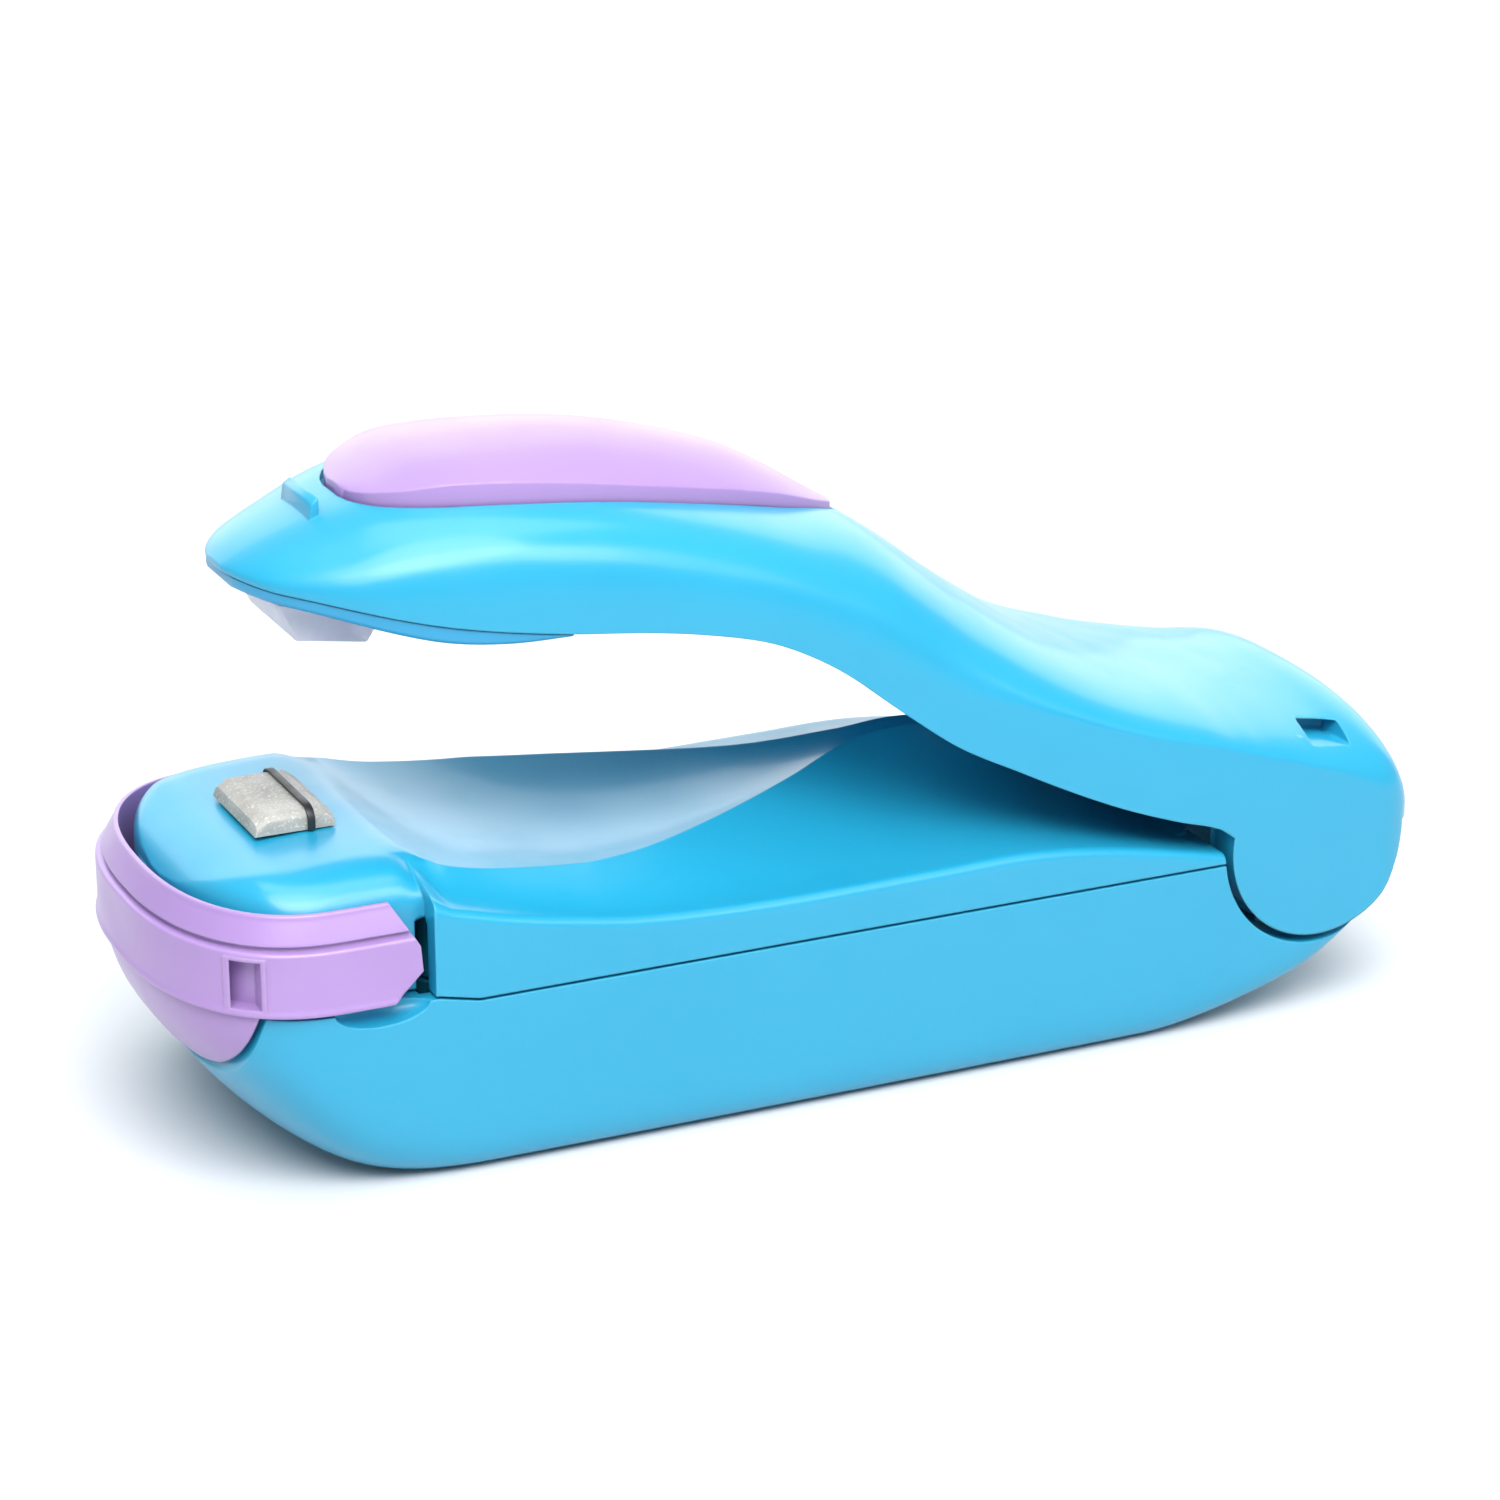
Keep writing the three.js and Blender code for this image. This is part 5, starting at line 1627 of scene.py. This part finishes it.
# ------------------------------------------------------------------------------------ small parts
@dataclass
class Hardware:
    """The screws, the return spring, and the frame's own contacts, leads and axle."""

    bay: Bay
    frame: dict
    spring_turns: float = 5.0
    spring_radius: float = 2.9
    spring_wire: float = 0.4
    spring_keep: float = 0.36
    thread_core: float = 1.0
    thread_pitch: float = 0.5
    thread_depth: float = 0.25
    slot_half: Flat = (1.3, 0.3)
    slot_depth: float = 0.75

    def screw(self, node: str, head: float) -> Solid:
        """A cross-head screw pointing up, with a domed head.

        Args:
            node: The frame's node that it stands for.
            head: The radius of its head.

        Returns:
            The screw.
        """
        low, high = (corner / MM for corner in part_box(node))
        length = high.z - low.z
        core, pitch = self.thread_core, self.thread_pitch
        dome = [(head * math.sin(a), 0.45 * (1 - math.cos(a))) for a in spread(0.0, 1.5, 8)]
        outline = [*dome, (head, 0.6), (head, 1.25), (head - 0.2, 1.4), (core, 1.4)]
        for i in range(int((length - 3.0) / pitch)):
            start = 1.8 + i * pitch
            outline += [(core, start), (core + self.thread_depth, start + pitch * 0.4)]
        outline += [(core, length - 1.0), (0, length)]
        piece = lathe(outline, 40)
        (long, thin), deep = self.slot_half, (-1, self.slot_depth)
        piece.cut(block((-long, long), (-thin, thin), deep).join(block((-thin, thin), (-long, long), deep)))
        return piece.move(Matrix.Translation(((low.x + high.x) / 2, (low.y + high.y) / 2, low.z)))

    def return_spring(self) -> Solid:
        """The coil spring that holds the jaws open.

        Returns:
            The spring.
        """
        low, high = (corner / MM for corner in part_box("return_spring"))
        x, wire = (low.x + high.x) / 2, self.spring_wire
        path = []
        for t in spread(0, 1, 200):
            turn = 2 * math.pi * self.spring_turns * t
            height = low.z + wire + (high.z - low.z - 2 * wire) * t
            path.append(Vector((x + self.spring_radius * math.cos(turn), self.spring_radius * math.sin(turn), height)))
        return tube(path, wire, 12)

    def build(self) -> None:
        """Builds the small parts and dresses the frame's own."""
        screws = [n for n in sorted(self.frame["nodes"]) if n.startswith("case_screw")]
        for node in screws:
            self.bay.set_down(self.screw(node, 2.3), node, "base", Tone.STEEL)
        self.bay.set_down(self.screw("plate_screw_rear", 2.0), "plate_screw_rear", "arm", Tone.STEEL)
        spring = self.bay.set_down(self.return_spring(), "return_spring", "base", Tone.STEEL, 60)
        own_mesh(spring)
        kept = {
            "hinge_axle": Tone.STEEL, "front_contact_bridge": Tone.NICKEL, "rear_plus_contact": Tone.NICKEL,
            "rear_minus_contact": Tone.NICKEL, "switch_contact_left": Tone.BRASS,
            "switch_contact_right": Tone.BRASS, "switch_bridge": Tone.BRASS, "lead_plus": Tone.RED,
            "lead_switch": Tone.WHITE, "lead_minus": Tone.BLACK,
        }
        for node, tone in kept.items():
            self.bay.palette.dress(self.frame["nodes"][node], tone)
            LOG.info("%s: dressed as %s", node, tone.value)


# ------------------------------------------------------------------------------------ studio
@dataclass(frozen=True)
class Softbox:
    """One rectangular light, with its places and sides in metres and its power in watts."""

    name: str
    place: Point
    size: Flat
    power: float
    aim: Point = (0.0, 0.0, 0.03)

    def hang(self) -> None:
        """Hangs the light and turns it to its aim."""
        data = bpy.data.lights.new(self.name, "AREA")
        data.shape = "RECTANGLE"
        data.size, data.size_y = self.size
        data.energy = self.power
        light = bpy.data.objects.new(self.name, data)
        light.location = self.place
        light.rotation_mode = "QUATERNION"
        light.rotation_quaternion = (Vector(self.aim) - Vector(self.place)).to_track_quat("-Z", "Y")
        bpy.context.scene.collection.objects.link(light)


@dataclass
class Studio:
    """The floor, the lights and the camera."""

    azimuth: float = -25.0
    elevation: float = 20.0
    distance: float = 0.42
    view_angle: float = 20.0
    target: Point = (0.0, 0.0, 0.029)
    sensor: float = 36.0
    clip: Flat = (0.01, 20.0)
    floor_half: float = 4.0
    floor_colour: Colour = (0.64, 0.64, 0.65)
    floor_shine: float = 0.15
    sky_colour: Colour = (0.8, 0.92, 1.0)
    sky_strength: float = 0.5
    backdrop: Colour = (1.0, 1.0, 1.0)
    sun_power: float = 2.8
    sun_spread: float = 50.0
    sun_turn: Flat = (28.0, -12.0)
    boxes: tuple[Softbox, ...] = (
        Softbox("front_box", (0.36, -0.62, 0.55), (0.5, 0.4), 1.0),
        Softbox("near_box", (-0.05, -0.16, 0.2), (0.3, 0.1), 0.36, (-0.02, 0.0, 0.05)),
        Softbox("top_box", (0.05, 0.1, 0.8), (0.7, 0.45), 2.4),
        Softbox("back_box", (0.35, 0.75, 0.33), (1.8, 0.6), 5.5),
    )

    def camera(self) -> None:
        """Sets the camera to look at the sealer from its near front corner."""
        turn, rise = math.radians(self.azimuth), math.radians(self.elevation)
        back = Vector((math.sin(turn) * math.cos(rise), -math.cos(turn) * math.cos(rise), math.sin(rise)))
        data = bpy.data.cameras.new("camera")
        data.sensor_width = self.sensor
        data.lens = data.sensor_width / 2 / math.tan(math.radians(self.view_angle / 2))
        data.clip_start, data.clip_end = self.clip
        camera = bpy.data.objects.new("camera", data)
        camera.location = Vector(self.target) + back * self.distance
        camera.rotation_mode = "QUATERNION"
        camera.rotation_quaternion = (-back).to_track_quat("-Z", "Y")
        bpy.context.scene.collection.objects.link(camera)
        bpy.context.scene.camera = camera

    def floor(self) -> None:
        """Lays the plain white floor."""
        half = self.floor_half
        mesh = bpy.data.meshes.new("floor")
        mesh.from_pydata([(-half, -half, 0), (half, -half, 0), (half, half, 0), (-half, half, 0)], [], [(0, 1, 2, 3)])
        floor = bpy.data.objects.new("floor", mesh)
        bpy.context.scene.collection.objects.link(floor)
        material, bench, shader = start_material("floor_white")
        place = bench.add("TexCoord").outputs["Object"]
        paper = bench.span(bench.noise(3.0, 2.0, place), (0.3, 0.7), (0.6, 0.66))
        bench.feed(shader.inputs["Roughness"], paper)
        shader.inputs["Base Color"].default_value = (*self.floor_colour, 1.0)
        shader.inputs["Specular IOR Level"].default_value = self.floor_shine
        floor.data.materials.append(material)

    def lights(self) -> None:
        """Sets the white surroundings, the high sun-like key and the softboxes."""
        world = bpy.data.worlds.new("white_room")
        world.use_nodes = True
        nodes, links = world.node_tree.nodes, world.node_tree.links
        sky = nodes["Background"]
        sky.inputs["Color"].default_value = (*self.sky_colour, 1.0)
        sky.inputs["Strength"].default_value = self.sky_strength
        backdrop = nodes.new("ShaderNodeBackground")
        backdrop.inputs["Color"].default_value = (*self.backdrop, 1.0)
        seen = nodes.new("ShaderNodeMixShader")
        links.new(nodes.new("ShaderNodeLightPath").outputs["Is Camera Ray"], seen.inputs["Fac"])
        links.new(sky.outputs["Background"], seen.inputs[1])
        links.new(backdrop.outputs["Background"], seen.inputs[2])
        links.new(seen.outputs["Shader"], nodes["World Output"].inputs["Surface"])
        bpy.context.scene.world = world
        data = bpy.data.lights.new("high_key", "SUN")
        data.energy = self.sun_power
        data.angle = math.radians(self.sun_spread)
        sun = bpy.data.objects.new("high_key", data)
        sun.rotation_euler = (*(math.radians(turn) for turn in self.sun_turn), 0.0)
        bpy.context.scene.collection.objects.link(sun)
        for box in self.boxes:
            box.hang()

    def look(self) -> None:
        """Shows the colours plainly, without film contrast."""
        settings = bpy.context.scene.view_settings
        settings.view_transform = "Standard"
        settings.look = "None"

    def build(self) -> None:
        """Builds the whole studio."""
        self.camera()
        self.floor()
        self.lights()
        self.look()


def main() -> None:
    """Builds the studio and then each sub-assembly round the frame."""
    logging.basicConfig(level=logging.INFO, format="%(message)s")
    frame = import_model()
    Studio().build()
    bay = Bay(Palette())
    for assembly in (
        BaseShells(bay), BatteryCompartment(bay), LockRing(bay), Heater(bay), Arm(bay), Hardware(bay, frame),
    ):
        LOG.info("building %s", type(assembly).__name__)
        assembly.build()


if __name__ == "__main__":
    main()
